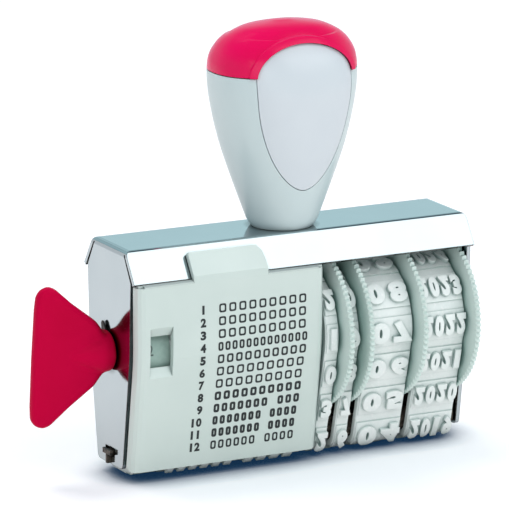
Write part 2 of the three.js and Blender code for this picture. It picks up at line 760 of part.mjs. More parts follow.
// The tab's two upper corners are rounded, seen square to the apron.
function roundedTab(tabSolid, tabLeft) {
  const rise = frameHeight - shoulderHeight;
  const tabEnd = shoulderHeight + (tabReach * rise) / Math.hypot(rise, (shoulderWidth - topWidth) / 2);
  const lifted = tabEnd + tabThickness;
  const outline = filleted(
    [
      [tabLeft, shoulderHeight - 2 * tabRoot], [tabLeft + tabWidth, shoulderHeight - 2 * tabRoot],
      [tabLeft + tabWidth, lifted], [tabLeft, lifted],
    ],
    [0, 0, 2 * tabRadius, 2 * tabLeftRadius],
  );
  return tabSolid.intersect(alongY(outline, -coverFront - overrun, 0));
}

// The window is bevelled above and below, so that the number behind it is easy to read.
function windowCut() {
  const middle = axleHeight + windowLift;
  const [innerFoot, innerTop] = [middle - windowHeight / 2, middle + windowHeight / 2];
  const [outerFoot, outerTop] = [innerFoot - windowBevel, innerTop + windowBevel];
  const out = (z) => -coverFrontAt(z);
  const back = (z) => -coverFrontAt(z) + coverWall;
  const section = polygon([
    [out(outerTop) - overrun, outerTop], [out(outerTop), outerTop], [back(innerTop), innerTop],
    [back(innerTop) + overrun, innerTop], [back(innerFoot) + overrun, innerFoot], [back(innerFoot), innerFoot],
    [out(outerFoot), outerFoot], [out(outerFoot) - overrun, outerFoot],
  ]);
  const left = coverLeft + windowInset;
  return alongX(section, left, left + windowWidth);
}
add('phrase_cover', buildCover(), coverPlastic);

// Handle: rings along one curved side profile, round at the foot and flattened front to back towards the top,
// where front and back also lean in towards each other
const handleProfile = new THREE.SplineCurve([
  [handleBaseWidth, 0],
  ...handleOutlineShares.map(([wide, high]) => [handleWidth * wide, handleHeight * high]),
].map(([w, h]) => new THREE.Vector2(w / 2, h)));
const roundness = 2;
const squareness = 2.3;
const [leanStart, leanDepth] = handleLeanShares;

function handleRing(t, shrink) {
  const point = handleProfile.getPoint(t);
  const along = handleProfile.getTangent(t);
  const rise = THREE.MathUtils.smoothstep(point.y, 0, handleBroadHeight);
  const lean = THREE.MathUtils.smoothstep(point.y, handleHeight * leanStart, handleHeight);
  const flat = THREE.MathUtils.lerp(1, handleDepth / handleWidth, rise) * THREE.MathUtils.lerp(1, leanDepth, lean);
  const power = 2 / THREE.MathUtils.lerp(roundness, squareness, rise);
  const width = point.x - shrink * along.y;
  const depth = point.x * flat - shrink * along.y;
  const z = frameHeight + restGap + point.y + shrink * along.x;
  return Array.from({ length: handleSteps }, (_, i) => {
    const turn = (i / handleSteps) * 2 * Math.PI;
    const bulge = (value) => Math.sign(value) * Math.abs(value) ** power;
    return [handleX + width * bulge(Math.cos(turn)), depth * bulge(Math.sin(turn)), z];
  });
}

function handleSolid(shrink, ringCount, firstShare = 0) {
  const lastShare = shrink > 0 ? 0.97 : 1;
  return lofted(Array.from({ length: ringCount }, (_, i) => {
    const t = THREE.MathUtils.lerp(firstShare, lastShare, i / (ringCount - 1));
    return handleRing(t, shrink);
  }));
}

// Everything of a solid between two heights over the frame's top
function slice(manifold, low, high) {
  const wide = handleWidth;
  const block = alongZ(rectangle(handleX - wide, -wide, handleX + wide, wide), low, high);
  return manifold.intersect(block);
}

// The inset's outline: an arch above its broadest line and a drop below it
function insetOutline(grow) {
  const half = insetWidth / 2 + grow;
  const arch = insetTopHeight - insetBroadHeight + grow;
  const drop = insetBroadHeight - insetFootHeight + grow;
  const base = frameHeight + restGap + insetBroadHeight;
  const dropPower = 0.67;
  const archSteps = 6;
  const dropSteps = 6;
  const right = [];
  for (let i = 0; i < dropSteps; i += 1) {
    const down = Math.cos((Math.PI / 2) * (i / dropSteps));
    right.push([half * (1 - down ** 2) ** dropPower, -drop * down]);
  }
  for (let i = 0; i <= archSteps; i += 1) {
    const turn = (Math.PI / 2) * (i / archSteps);
    right.push([half * Math.cos(turn), arch * Math.sin(turn)]);
  }
  right[right.length - 1][0] = 0;
  const left = right.slice(1, -1).map(([x, z]) => [-x, z]).reverse();
  return polygon([...right, ...left].map(([x, z]) => [handleX + x, base + z]));
}

const handleBase = frameHeight + restGap;
const handleOuter = handleSolid(0, handleRings);
const pocketFloor = handleSolid(insetThickness + insetGap, handleRings);
const insetBack = handleSolid(insetThickness, handleRings);
const cavity = handleSolid(handleWall, cavityRings);
const deepY = handleDepth;

function pocket(side) {
  const [y0, y1] = side < 0 ? [-deepY, 0] : [0, deepY];
  return alongY(insetOutline(insetGap), y0, y1).subtract(pocketFloor);
}
const pockets = pocket(-1).add(pocket(1));

function buildHandleBody() {
  const hollow = slice(cavity, handleBase + handleFloor, handleBase + handleHeight);
  let body = slice(handleOuter, handleBase - overrun, handleBase + capJoint).subtract(hollow);
  body = body.add(upright(handleBase + handleFloor / 2, handleBase + bossHeight, bossRadius));
  for (const side of [-1, 1]) {
    const x = handleX + side * pegPlace;
    body = body.add(upright(handleBase - pegLength, handleBase + handleFloor / 2, pegRadius, x));
  }
  body = body.subtract(upright(handleBase - overrun, handleBase + bossHeight + overrun, screwRadius + keyGap));
  return body.subtract(pockets);
}
add('handle_body', buildHandleBody(), handlePlastic);

function buildHandleCap() {
  const joint = handleBase + capJoint + jointGap;
  const inner = handleSolid(handleWall + insetGap + capSkirtWall, cavityRings);
  const shell = slice(handleOuter, joint, handleBase + handleHeight + overrun).subtract(pockets);
  const plug = slice(handleSolid(handleWall + insetGap, cavityRings), joint - capSkirt, joint + jointGap);
  return shell.add(plug).subtract(inner);
}
add('handle_cap', buildHandleCap(), redPlastic);

for (const [name, side] of [['handle_front_inset', -1], ['handle_rear_inset', 1]]) {
  const [y0, y1] = side < 0 ? [-deepY, 0] : [0, deepY];
  const plate = handleOuter.subtract(insetBack).intersect(alongY(insetOutline(0), y0, y1));
  add(name, plate, insetPlastic);
}

// Screw and washer that hold the handle from inside the frame
const washerTop = frameHeight - sheet - restGap;
const washerFoot = washerTop - screwWasherThickness;
const screwWasher = upright(washerFoot, washerTop, screwWasherRadius)
  .subtract(upright(washerFoot - overrun, washerTop + overrun, screwRadius + slotGap));
add('handle_screw_washer', screwWasher, drawnSteel);

function buildScrew() {
  const headTop = washerFoot - restGap;
  const headFoot = headTop - screwHeadHeight;
  let screw = upright(headFoot, headTop, screwHeadRadius);
  screw = screw.add(upright(headTop - screwHeadHeight / 2, headTop + screwLength, screwRadius));
  const slot = rectangle(
    handleX - screwHeadRadius - overrun, -screwSlotWidth / 2, handleX + screwHeadRadius + overrun, screwSlotWidth / 2,
  );
  return screw.subtract(alongZ(slot, headFoot - overrun, headFoot + screwSlotDepth));
}
add('handle_screw', buildScrew(), drawnSteel);

export default stamp;
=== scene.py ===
# %% [markdown]
# # A hand-held dater, dressed for the camera
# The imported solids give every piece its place. This script gives the pieces their finish: plated sheet
# steel, moulded plastic and rubber type. Some solids only need a soft edge and a material. Others, such as
# the handle and the printing bands, are built again here with finer curves. All lengths are millimetres
# until the moment a mesh is made.

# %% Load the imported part
import math

import bmesh
import bpy
import numpy as np
from mathutils import Matrix, Vector


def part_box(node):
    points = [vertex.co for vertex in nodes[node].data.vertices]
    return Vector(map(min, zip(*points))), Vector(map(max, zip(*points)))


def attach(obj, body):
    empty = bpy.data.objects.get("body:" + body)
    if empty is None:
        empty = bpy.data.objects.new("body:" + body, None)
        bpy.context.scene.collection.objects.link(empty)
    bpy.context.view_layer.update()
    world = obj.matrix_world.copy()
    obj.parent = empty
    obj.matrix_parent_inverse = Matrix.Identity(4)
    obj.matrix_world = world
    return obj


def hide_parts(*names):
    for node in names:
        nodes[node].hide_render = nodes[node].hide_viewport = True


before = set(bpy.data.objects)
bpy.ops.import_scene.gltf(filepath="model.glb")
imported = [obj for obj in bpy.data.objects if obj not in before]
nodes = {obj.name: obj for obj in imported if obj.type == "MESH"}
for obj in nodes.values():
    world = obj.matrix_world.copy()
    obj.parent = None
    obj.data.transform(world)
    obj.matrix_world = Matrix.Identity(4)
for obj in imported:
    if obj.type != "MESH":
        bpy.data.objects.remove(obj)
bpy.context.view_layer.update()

millimetre = 0.001
print("solids in the frame:", len(nodes))

# %% [markdown]
# ## Colours
# Hex colours are sRGB, as an eye or a paint chart names them. A shader adds and multiplies light, so it
# needs linear values. One function turns the first into the second.


# %% Turn a hex colour into linear light
def linear(hex_colour):
    shares = [int(hex_colour[i : i + 2], 16) / 255 for i in (1, 3, 5)]
    return [s / 12.92 if s <= 0.04045 else ((s + 0.055) / 1.055) ** 2.4 for s in shares] + [1.0]


print("mid grey #808080 is", round(linear("#808080")[0], 3), "of white light")

# %% [markdown]
# ## Building materials from nodes
# A material is a small graph. One helper adds a node, sets its options and joins its inputs: an input is
# given either as a plain value or as the output socket of another node. Patterns are measured in
# millimetres on the object, so each texture is scaled from the real size of its grain.


# %% A helper that adds one node
def add_node(tree, kind, inputs=None, **settings):
    node = tree.nodes.new(kind)
    for name, value in settings.items():
        setattr(node, name, value)
    for name, value in (inputs or {}).items():
        if isinstance(value, bpy.types.NodeSocket):
            tree.links.new(value, node.inputs[name])
        else:
            node.inputs[name].default_value = value
    return node


def per_metre(size):
    """How often a pattern of this size in millimetres repeats in a metre."""
    return 1 / (size * millimetre)


print("a pattern of 1 mm repeats", round(per_metre(1)), "times in a metre")


# %% How a material starts and ends
def start_material(name):
    material = bpy.data.materials.new(name)
    material.use_nodes = True
    tree = material.node_tree
    tree.nodes.clear()
    return material, tree, add_node(tree, "ShaderNodeTexCoord").outputs["Object"]


def finish_material(material, surface):
    """Gives the material one Principled shader with these inputs, joined to its output."""
    tree = material.node_tree
    shader = add_node(tree, "ShaderNodeBsdfPrincipled", surface)
    add_node(tree, "ShaderNodeOutputMaterial", {"Surface": shader.outputs["BSDF"]})
    return material


# %% Patterns that the materials share
def mottled(tree, place, low, high, size, share=0.5):
    """A colour that drifts between two hex colours in soft patches of the given size."""
    cloud = add_node(tree, "ShaderNodeTexNoise", {"Vector": place, "Scale": per_metre(size), "Detail": 3.0})
    limits = {"From Min": 0.5 - share / 2, "From Max": 0.5 + share / 2}
    drift = add_node(tree, "ShaderNodeMapRange", {"Value": cloud.outputs["Fac"], **limits})
    ends = {"Factor": drift.outputs["Result"], "A": linear(low), "B": linear(high)}
    return add_node(tree, "ShaderNodeMix", ends, data_type="RGBA").outputs["Result"]


def grain(tree, place, size, depth):
    """A bump of soft grain: its size and its depth in millimetres."""
    noise = add_node(tree, "ShaderNodeTexNoise", {"Vector": place, "Scale": per_metre(size), "Detail": 2.0})
    bump = {"Height": noise.outputs["Fac"], "Strength": 1.0, "Distance": depth * millimetre}
    return add_node(tree, "ShaderNodeBump", bump).outputs["Normal"]


def rough_between(tree, place, low, high, size):
    """A roughness that wanders between two values in patches of the given size."""
    noise = add_node(tree, "ShaderNodeTexNoise", {"Vector": place, "Scale": per_metre(size), "Detail": 4.0})
    spread = {"From Min": 0.35, "From Max": 0.65, "To Min": low, "To Max": high}
    return add_node(tree, "ShaderNodeMapRange", {"Value": noise.outputs["Fac"], **spread}).outputs["Result"]


def darker_in_hollows(tree, colour, shade, reach, depth=1.0):
    """Mixes painted shade over the colour where ambient occlusion finds the surface deep between its
    neighbours.
    """
    hollow = add_node(tree, "ShaderNodeAmbientOcclusion", {"Distance": reach * millimetre}, samples=8)
    limits = {"From Min": 0.15, "From Max": 0.85, "To Min": 1 - depth}
    openness = add_node(tree, "ShaderNodeMapRange", {"Value": hollow.outputs["AO"], **limits})
    ends = {"Factor": openness.outputs["Result"], "A": linear(shade), "B": colour}
    return add_node(tree, "ShaderNodeMix", ends, data_type="RGBA").outputs["Result"]


# %% [markdown]
# ## Nickel-plated sheet steel
# The frame is pressed from thin sheet and plated, so it mirrors the studio. Rolled sheet is never quite
# flat: a very shallow wave a few millimetres long bends the reflections, which tells the eye that this is
# pressed metal and not glass. Metal has no colour under its reflection, so the base colour is the tint of
# the mirror itself. Every edge of the sheet gets a fine painted dark line, which stands in for the dark
# reflection that a thin edge catches. The Bevel node finds it: near an edge the rounded normal that it
# gives turns away from the true one. The cut edges of the two aprons face down, and get painted shade all
# over: they are the faces that point down and lie more than 9 mm from the middle of the frame. Where the
# steel lies deep beside other parts, painted shade darkens it as well.

# %% Plated sheet steel
edge_line_width = 0.28
cut_facing = -0.4
cut_distance = 9


def plated_sheet_steel():
    material, tree, place = start_material("nickel_plated_sheet_steel")
    tint = mottled(tree, place, "#b5c1c5", "#bdc8cb", size=14)
    # painted shade where the steel lies deep beside other parts, as round the foot of the handle
    tint = darker_in_hollows(tree, tint, "#20282a", reach=1.5, depth=0.9)
    # a painted dark line along every edge, in place of the dark reflection that a thin edge catches
    rounded_normal = add_node(tree, "ShaderNodeBevel", {"Radius": edge_line_width * millimetre}, samples=6)
    true_normal = add_node(tree, "ShaderNodeNewGeometry").outputs["True Normal"]
    pair = {0: rounded_normal.outputs["Normal"], 1: true_normal}
    agree = add_node(tree, "ShaderNodeVectorMath", pair, operation="DOT_PRODUCT").outputs["Value"]
    clean = add_node(tree, "ShaderNodeMapRange", {"Value": agree, "From Min": 0.86, "From Max": 0.99})
    # the cut edges of the aprons, which face down, get painted shade all over
    facing = add_node(tree, "ShaderNodeSeparateXYZ", {"Vector": true_normal}).outputs["Z"]
    down = add_node(tree, "ShaderNodeMath", {0: facing, 1: cut_facing}, operation="LESS_THAN").outputs[0]
    aside = add_node(tree, "ShaderNodeSeparateXYZ", {"Vector": place}).outputs["Y"]
    aside = add_node(tree, "ShaderNodeMath", {0: aside}, operation="ABSOLUTE").outputs[0]
    limit = cut_distance * millimetre
    far = add_node(tree, "ShaderNodeMath", {0: aside, 1: limit}, operation="GREATER_THAN").outputs[0]
    sheared = add_node(tree, "ShaderNodeMath", {0: down, 1: far}, operation="MULTIPLY").outputs[0]
    # the share of plain tint, away from the painted dark edges and cut faces; #4b4644 is the painted dark
    pair = {0: clean.outputs["Result"], 1: sheared}
    tint_share = add_node(tree, "ShaderNodeMath", pair, operation="SUBTRACT", use_clamp=True).outputs[0]
    ends = {"Factor": tint_share, "A": linear("#4b4644"), "B": tint}
    tint_with_painted_edges = add_node(tree, "ShaderNodeMix", ends, data_type="RGBA").outputs["Result"]
    surface = {"Metallic": 1.0, "Base Color": tint_with_painted_edges}
    surface["Roughness"] = rough_between(tree, place, 0.06, 0.11, size=6)
    surface["Normal"] = grain(tree, place, size=9, depth=0.012)
    return finish_material(material, surface)


plated_steel = plated_sheet_steel()
print("made", plated_steel.name)

# %% [markdown]
# ## Drawn steel
# The axle, and the handle's screw and its washer, are drawn or turned and left bare. Fine lines run along
# the pull, and the metal looks duller than the plating. The real lines are far under a tenth of a
# millimetre, too fine for the picture, so they are drawn 0.25 mm wide.

# %% Drawn steel
line_width = 0.25
line_length = 12
line_depth = 0.01


def drawn_bare_steel():
    material, tree, place = start_material("drawn_bare_steel")
    scale = (per_metre(line_length), per_metre(line_width), per_metre(line_width))
    stretched = add_node(tree, "ShaderNodeMapping", {"Vector": place, "Scale": scale}).outputs["Vector"]
    pull = {"Vector": stretched, "Scale": 1.0, "Detail": 3.0}
    lines = add_node(tree, "ShaderNodeTexNoise", pull).outputs["Fac"]
    ends = {"Factor": lines, "A": linear("#a4a8ab"), "B": linear("#d2d5d6")}
    tone = add_node(tree, "ShaderNodeMix", ends, data_type="RGBA")
    dull = add_node(tree, "ShaderNodeMapRange", {"Value": lines, "To Min": 0.22, "To Max": 0.42})
    bump = {"Height": lines, "Strength": 0.5, "Distance": line_depth * millimetre}
    surface = {"Metallic": 1.0, "Base Color": tone.outputs["Result"], "Roughness": dull.outputs["Result"]}
    surface["Normal"] = add_node(tree, "ShaderNodeBump", bump).outputs["Normal"]
    return finish_material(material, surface)


drawn_steel = drawn_bare_steel()
print("made", drawn_steel.name)

# %% [markdown]
# ## Blackened spring steel
# The two thin washers on the axle are spring steel with a black oxide finish. Oiled black oxide is nearly
# black, with a dull sheen that is a little brown where it has rubbed.


# %% Blackened washers
def darkened_steel(name, metallic, low, high, patch, share, smoothest, roughest):
    material, tree, place = start_material(name)
    surface = {"Metallic": metallic, "Base Color": mottled(tree, place, low, high, patch, share)}
    surface["Roughness"] = rough_between(tree, place, smoothest, roughest, size=1)
    return finish_material(material, surface)


washer_steel = darkened_steel(
    "black_oxide_spring_steel", 0.6, "#1e2122", "#38322d", patch=1.5, share=0.5, smoothest=0.35, roughest=0.55
)
print("made", washer_steel.name)

# %% [markdown]
# ## Oil-stained steel
# The platen is cut from plain strip and never cleaned. Only the tongue at each end shows, in the slot of the
# cheek, and old oil and ink have turned it brown. It is made like the black washers, but its stains are
# smaller and have a harder edge.

# %% Stained platen
platen_steel = darkened_steel(
    "oil_stained_steel_strip", 0.5, "#0f0c0a", "#5b5248", patch=0.9, share=0.3, smoothest=0.3, roughest=0.6
)
print("made", platen_steel.name)

# %% [markdown]
# ## Moulded plastics
# The handle, the cover, the dials and the two red pieces are injection-moulded ABS. They differ in colour,
# polish, sheen and painted shade only, so one function makes them all. ABS has an IOR near 1.54. A mould
# that was spark-eroded leaves a fine grain, which softens the highlights; a polished mould leaves a clear
# coat of shine with a slow orange-peel wave. Painted shade can darken a plastic in its hollows, and on the
# narrow ledges of the cover, which face up and would catch too much of the overhead lamp. The cap is handled
# most, and its worn skin turns pinker where the eye skims along it: that is the sheen.

# %% Injection-moulded ABS
abs_ior = 1.54
colour_patch = 11
polish_patch = 8
polish_drift = 0.02
ledge_facing = 0.7
sheen = {"Sheen Weight": 0.45, "Sheen Roughness": 0.3}


def moulded_abs(
    name, low, high, roughness, grain_size, grain_depth, gloss=0.5, hollow=None, ledge=None, sheen_tint=None
):
    """hollow is the painted shade and reach of its hollows, and ledge the painted shade of faces that look
    up.
    """
    material, tree, place = start_material(name)
    colour = mottled(tree, place, low, high, colour_patch)
    # painted shade in the hollows
    if hollow:
        colour = darker_in_hollows(tree, colour, *hollow)
    # painted shade on the faces that look up, which the overhead lamp lights strongly
    if ledge:
        true_normal = add_node(tree, "ShaderNodeNewGeometry").outputs["True Normal"]
        facing = add_node(tree, "ShaderNodeSeparateXYZ", {"Vector": true_normal}).outputs["Z"]
        pair = {0: facing, 1: ledge_facing}
        up = add_node(tree, "ShaderNodeMath", pair, operation="GREATER_THAN").outputs[0]
        ends = {"Factor": up, "A": colour, "B": linear(ledge)}
        colour = add_node(tree, "ShaderNodeMix", ends, data_type="RGBA").outputs["Result"]
    surface = {"IOR": abs_ior, "Specular IOR Level": gloss, "Base Color": colour}
    if sheen_tint:
        surface |= {**sheen, "Sheen Tint": linear(sheen_tint)}
    dullness = roughness - polish_drift, roughness + polish_drift
    surface["Roughness"] = rough_between(tree, place, *dullness, polish_patch)
    surface["Normal"] = grain(tree, place, grain_size, grain_depth)
    return finish_material(material, surface)


# %% The parts' plastics
spark_grain = 0.3
peel_wave = 4
peel_depth = 0.01
# painted shade in the cover's hollows, most under the apron's edge, and painted shade on its faces that look
# up
cover_plastic = moulded_abs(
    "satin_moulded_abs_cover",
    "#c1d1cb",
    "#c7d6d0",
    roughness=0.32,
    grain_size=spark_grain,
    grain_depth=0.004,
    gloss=0.8,
    hollow=("#3c4b4a", 1.3),
    ledge="#a3afac",
)
# the dials get painted shade in the hollows between them and beside the bands
wheel_plastic = moulded_abs(
    "moulded_abs_dials", "#cbddd6", "#d2e2dc", 0.45, spark_grain, 0.005, hollow=("#7fa49c", 4)
)
handle_plastic = moulded_abs("polished_abs_handle", "#bfd0d1", "#c5d5d5", 0.3, peel_wave, peel_depth)
inset_plastic = moulded_abs("polished_abs_inset", "#c8d1d6", "#ccd5d9", 0.3, peel_wave, peel_depth)
# painted shade in the cap's hollows draws a dark line round the lip of the arch
cap_plastic = moulded_abs(
    "polished_crimson_abs",
    "#da004e",
    "#e20056",
    roughness=0.2,
    grain_size=peel_wave,
    grain_depth=peel_depth,
    gloss=0.2,
    hollow=("#6a0020", 1.5),
    sheen_tint="#ff8fc0",
)
# the knob is the cap's red plastic with a darker base, which is painted shade because the knob turns away
# from the lamps; painted shade also darkens its neck near the cheek
knob_plastic = moulded_abs(
    "dull_crimson_abs_painted_shade", "#ba0036", "#c2003c", 0.42, peel_wave, peel_depth, gloss=0.03, hollow=("#7c0008", 7)
)
for made in (cover_plastic, wheel_plastic, handle_plastic, inset_plastic, cap_plastic, knob_plastic):
    print("made", made.name)

# %% [markdown]
# ## Rubber type
# The bands are moulded from pale rubber. Rubber scatters light like chalk, with no clear highlight, and a
# used band carries a light bloom that shows as small paler and darker specks. The specks are drawn 0.6 mm
# wide, a little coarser than the real powder, so that they show. The low places beside the type are greyer
# with painted shade, and a wide, faint painted shade lies deep between the dials.

# %% Moulded band rubber
speck_size = 0.6


def moulded_rubber():
    material, tree, place = start_material("moulded_pale_rubber")
    base = mottled(tree, place, "#e1eae7", "#ebf2ef", size=5)
    powder = {"Vector": place, "Scale": per_metre(speck_size), "Detail": 2.0}
    specks = add_node(tree, "ShaderNodeTexNoise", powder).outputs["Fac"]
    bloom = add_node(tree, "ShaderNodeMapRange", {"Value": specks, "From Min": 0.55, "From Max": 0.8})
    ends = {"Factor": bloom.outputs["Result"], "A": base, "B": linear("#f2f6f4")}
    tone = add_node(tree, "ShaderNodeMix", ends, data_type="RGBA").outputs["Result"]
    # painted shade beside the type, then a wide, faint painted shade between the dials
    shaded_tone = darker_in_hollows(tree, tone, "#7f9c98", reach=1.6, depth=0.9)
    shaded_tone = darker_in_hollows(tree, shaded_tone, "#5f8074", reach=7, depth=0.2)
    surface = {"IOR": 1.52, "Specular IOR Level": 0.35, "Base Color": shaded_tone}
    surface["Roughness"] = rough_between(tree, place, 0.6, 0.75, size=2)
    surface["Normal"] = grain(tree, place, size=0.35, depth=0.008)
    return finish_material(material, surface)


band_rubber = moulded_rubber()
print("made", band_rubber.name)

# %% [markdown]
# ## Printing ink
# The list on the cover is screen-printed, and so are the small numbers on the phrase band. The green-grey
# strip under them is painted shade, the shade that the cover throws into its window, and it is made like an
# ink. Screen ink dries as a thin, slightly uneven film, so its grey shifts a little from stroke to stroke.


# %% Screen-printed ink
def screen_ink(name, low, high):
    material, tree, place = start_material(name)
    surface = {"IOR": 1.5, "Base Color": mottled(tree, place, low, high, size=0.8)}
    surface["Roughness"] = rough_between(tree, place, 0.4, 0.6, size=0.5)
    return finish_material(material, surface)


list_ink = screen_ink("screen_ink_dark", "#10181a", "#20292b")
number_ink = screen_ink("screen_ink_faded", "#4f5f5c", "#66756f")
painted_window_shade = screen_ink("painted_window_shade_ink", "#93afa5", "#9db8ae")
for made in (list_ink, number_ink, painted_window_shade):
    print("made", made.name)

# %% [markdown]
# ## Making a mesh ride on the part
# Each new piece is given in millimetres as points and faces. The helper turns it into a mesh in metres,
# shades it smooth but keeps real edges crisp, and ties it to the body that carries it.

# %% Helpers that make a piece
same_place = 1e-6


def mesh_object(name, points, faces, clean=False):
    """An object from points in millimetres, with its faces turned outwards."""
    mesh = bpy.data.meshes.new(name)
    scaled = [tuple(float(c) * millimetre for c in p) for p in points]
    mesh.from_pydata(scaled, [], [tuple(f) for f in faces])
    if clean:
        mesh.validate()
    work = bmesh.new()
    work.from_mesh(mesh)
    if clean:
        bmesh.ops.remove_doubles(work, verts=work.verts, dist=same_place)
    bmesh.ops.recalc_face_normals(work, faces=work.faces)
    work.to_mesh(mesh)
    work.free()
    made = bpy.data.objects.new(name, mesh)
    bpy.context.scene.collection.objects.link(made)
    return made


def make_piece(name, points, faces, material, body, slot, stands_for=()):
    finish_piece(mesh_object(name, points, faces, clean=True), material, body, stands_for)


def finish_piece(piece, material, body, stands_for=(), crease=35):
    piece.data.materials.clear()
    piece.data.materials.append(material)
    piece.data.shade_smooth()
    piece.data.set_sharp_from_angle(angle=math.radians(crease))
    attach(piece, body)
    if stands_for:
        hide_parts(*stands_for)
    print(piece.name, "has", len(piece.data.polygons), "faces")


# %% [markdown]
# ## Solids whose shape is already right
# The pressed frame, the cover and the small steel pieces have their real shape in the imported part. What
# they lack is the tiny round that every pressed or moulded edge has, and which catches a line of light.
# Modifiers add it without touching the mesh: weld the corners, join flat faces, bevel the sharp edges,
# and weight the normals so that flat areas stay flat in the mirror.

# %% Dress a solid of the frame
flat_within = 1.5
sharp_beyond = 40
flatness_weight = 80


def dress(node, material, edge, segments=2):
    piece = nodes[node]
    piece.data.materials.clear()
    piece.data.materials.append(material)
    weld = piece.modifiers.new("weld", "WELD")
    weld.merge_threshold = same_place
    flat = piece.modifiers.new("flat", "DECIMATE")
    flat.decimate_type = "DISSOLVE"
    flat.angle_limit = math.radians(flat_within)
    round_edge = piece.modifiers.new("edge", "BEVEL")
    round_edge.width = edge * millimetre
    round_edge.segments = segments
    round_edge.limit_method = "ANGLE"
    round_edge.angle_limit = math.radians(sharp_beyond)
    round_edge.use_clamp_overlap = True
    normals = piece.modifiers.new("normals", "WEIGHTED_NORMAL")
    normals.keep_sharp = True
    normals.weight = flatness_weight
    print("dressed", node)


# %% The dressed solids
dress("frame", plated_steel, edge=0.12)
dress("phrase_cover", cover_plastic, edge=0.22, segments=3)
dress("phrase_drum", wheel_plastic, edge=0.1)
small_steel = {
    "platen": platen_steel,
    "wheel_axle": drawn_steel,
    "spring_washer": washer_steel,
    "knob_washer": washer_steel,
    "handle_screw": drawn_steel,
    "handle_screw_washer": drawn_steel,
}
for node, steel in small_steel.items():
    dress(node, steel, edge=0.08)

# %% [markdown]
# ## Measuring the part
# Sizes that the solids already hold are read from them, so that a new piece stays on what carries it.


# %% Read places from the solids
def box_of(node):
    low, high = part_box(node)
    return np.array(low) / millimetre, np.array(high) / millimetre


disc_low, disc_high = box_of("year_wheel")
axle_height = (disc_low[2] + disc_high[2]) / 2
disc_radius = (disc_high[2] - disc_low[2]) / 2
plate_height = box_of("frame")[1][2]
print("axle height", round(axle_height, 2), "disc radius", round(disc_radius, 2))

# %% [markdown]
# ## How a band runs
# A band wraps its hub, drops down both sides and passes under the platen. Its path is two arcs and two
# straight runs on each side, so any point on it is given by one number: the distance along the band from
# the middle of the printing line. A second number is the height above the face of the rubber. With this
# map, flat type can be laid out on a straight ruler and then bent onto the band.

# %% The path of a band
band_thickness = 1.2
type_height = 1.1
run_gap = 0.3
platen_width = 10
platen_corner = 1.5
corner_z = type_height + band_thickness + run_gap + platen_corner
corner_y = platen_width / 2 - platen_corner
date_hub_radius = 10.2
phrase_drum_radius = 8


def belt_over(hub_radius):
    hub = hub_radius + run_gap + band_thickness
    corner = platen_corner + run_gap + band_thickness
    rise = axle_height - corner_z
    tilt = math.asin((hub - corner) / math.hypot(corner_y, rise)) - math.atan2(corner_y, rise)
    bend = math.pi / 2 - tilt
    run = math.sqrt(corner_y**2 + rise**2 - (hub - corner) ** 2)
    marks = (corner_y, corner_y + corner * bend, corner_y + corner * bend + run)
    length = 2 * (marks[2] + hub * (math.pi / 2 + tilt))
    return {"hub": hub, "corner": corner, "tilt": tilt, "marks": marks, "length": length}


def belt_point(belt, distance, lift):
    """The Y and Z of a point at this distance along the band and this height above its face."""
    half = belt["length"] / 2
    distance = (distance + half) % belt["length"] - half
    side = -1 if distance < 0 else 1
    s = abs(distance)
    flat_end, bend_end, run_end = belt["marks"]
    cos, sin = math.cos(belt["tilt"]), math.sin(belt["tilt"])
    if s <= flat_end:
        return side * s, corner_z - belt["corner"] - lift
    if s <= bend_end:
        turn = (s - flat_end) / belt["corner"]
        reach = belt["corner"] + lift
        return side * (corner_y + reach * math.sin(turn)), corner_z - reach * math.cos(turn)
    if s <= run_end:
        reach, up = belt["corner"] + lift, s - bend_end
        return side * (corner_y + reach * cos + up * sin), corner_z - reach * sin + up * cos
    turn = (s - run_end) / belt["hub"] - belt["tilt"]
    reach = belt["hub"] + lift
    return side * reach * math.cos(turn), axle_height + reach * math.sin(turn)


date_belt = belt_over(date_hub_radius)
phrase_belt = belt_over(phrase_drum_radius)
print("a date band is", round(date_belt["length"], 1), "mm long")

# %% [markdown]
# ## A strip of rubber on that path
# The band itself and the low pad under each line of type are the same kind of form: a small cross-section
# swept along the path. The band closes on itself, and a pad has two ends.

# %% Sweep a cross-section along a band
sweep_step = 0.8


def ring_faces(rows, size, closed=False):
    """Faces that join rings of points one after another. A closed run meets itself, an open one gets ends."""
    faces = []
    for row in range(rows if closed else rows - 1):
        here, on = row * size, (row + 1) % rows * size
        faces.extend((here + k, here + (k + 1) % size, on + (k + 1) % size, on + k) for k in range(size))
    if not closed:
        faces.append(tuple(reversed(range(size))))
        faces.append(tuple(range((rows - 1) * size, rows * size)))
    return faces


def swept_strip(belt, section, start, end, closed=False):
    """section lists (x, lift) points; start and end are distances along the band."""
    count = max(2, math.ceil((end - start) / sweep_step))
    stops = count if closed else count + 1
    points = []
    for i in range(stops):
        distance = start + (end - start) * i / count
        points.extend((x, *belt_point(belt, distance, lift)) for x, lift in section)
    return points, ring_faces(stops, len(section), closed)


def block_section(left, right, low, high, edge):
    """A flat-topped section with sloping shoulders, as (x, lift) points."""
    return [
        (left, low),
        (left, high - edge),
        (left + edge, high),
        (right - edge, high),
        (right, high - edge),
        (right, low),
    ]


def joined(parts):
    points, faces = [], []
    for part_points, part_faces in parts:
        start = len(points)
        points.extend(part_points)
        faces.extend(tuple(i + start for i in face) for face in part_faces)
    return points, faces


print("a date band takes", math.ceil(date_belt["length"] / sweep_step), "steps of the sweep")

# %% [markdown]
# ## Cutting the characters
# Plain numerals come from Blender's own built-in letter shapes, turned into a mesh with a small bevel, so
# that each one has the sloping shoulder of real type. Every numeral is made once and kept, then scaled to
# the cell that it fills.

# %% Numerals as meshes
widest_stretch = 1.45
widest_one = 1.1
numeral_depth = 0.1
curve_steps = 4
numeral_shapes = {}


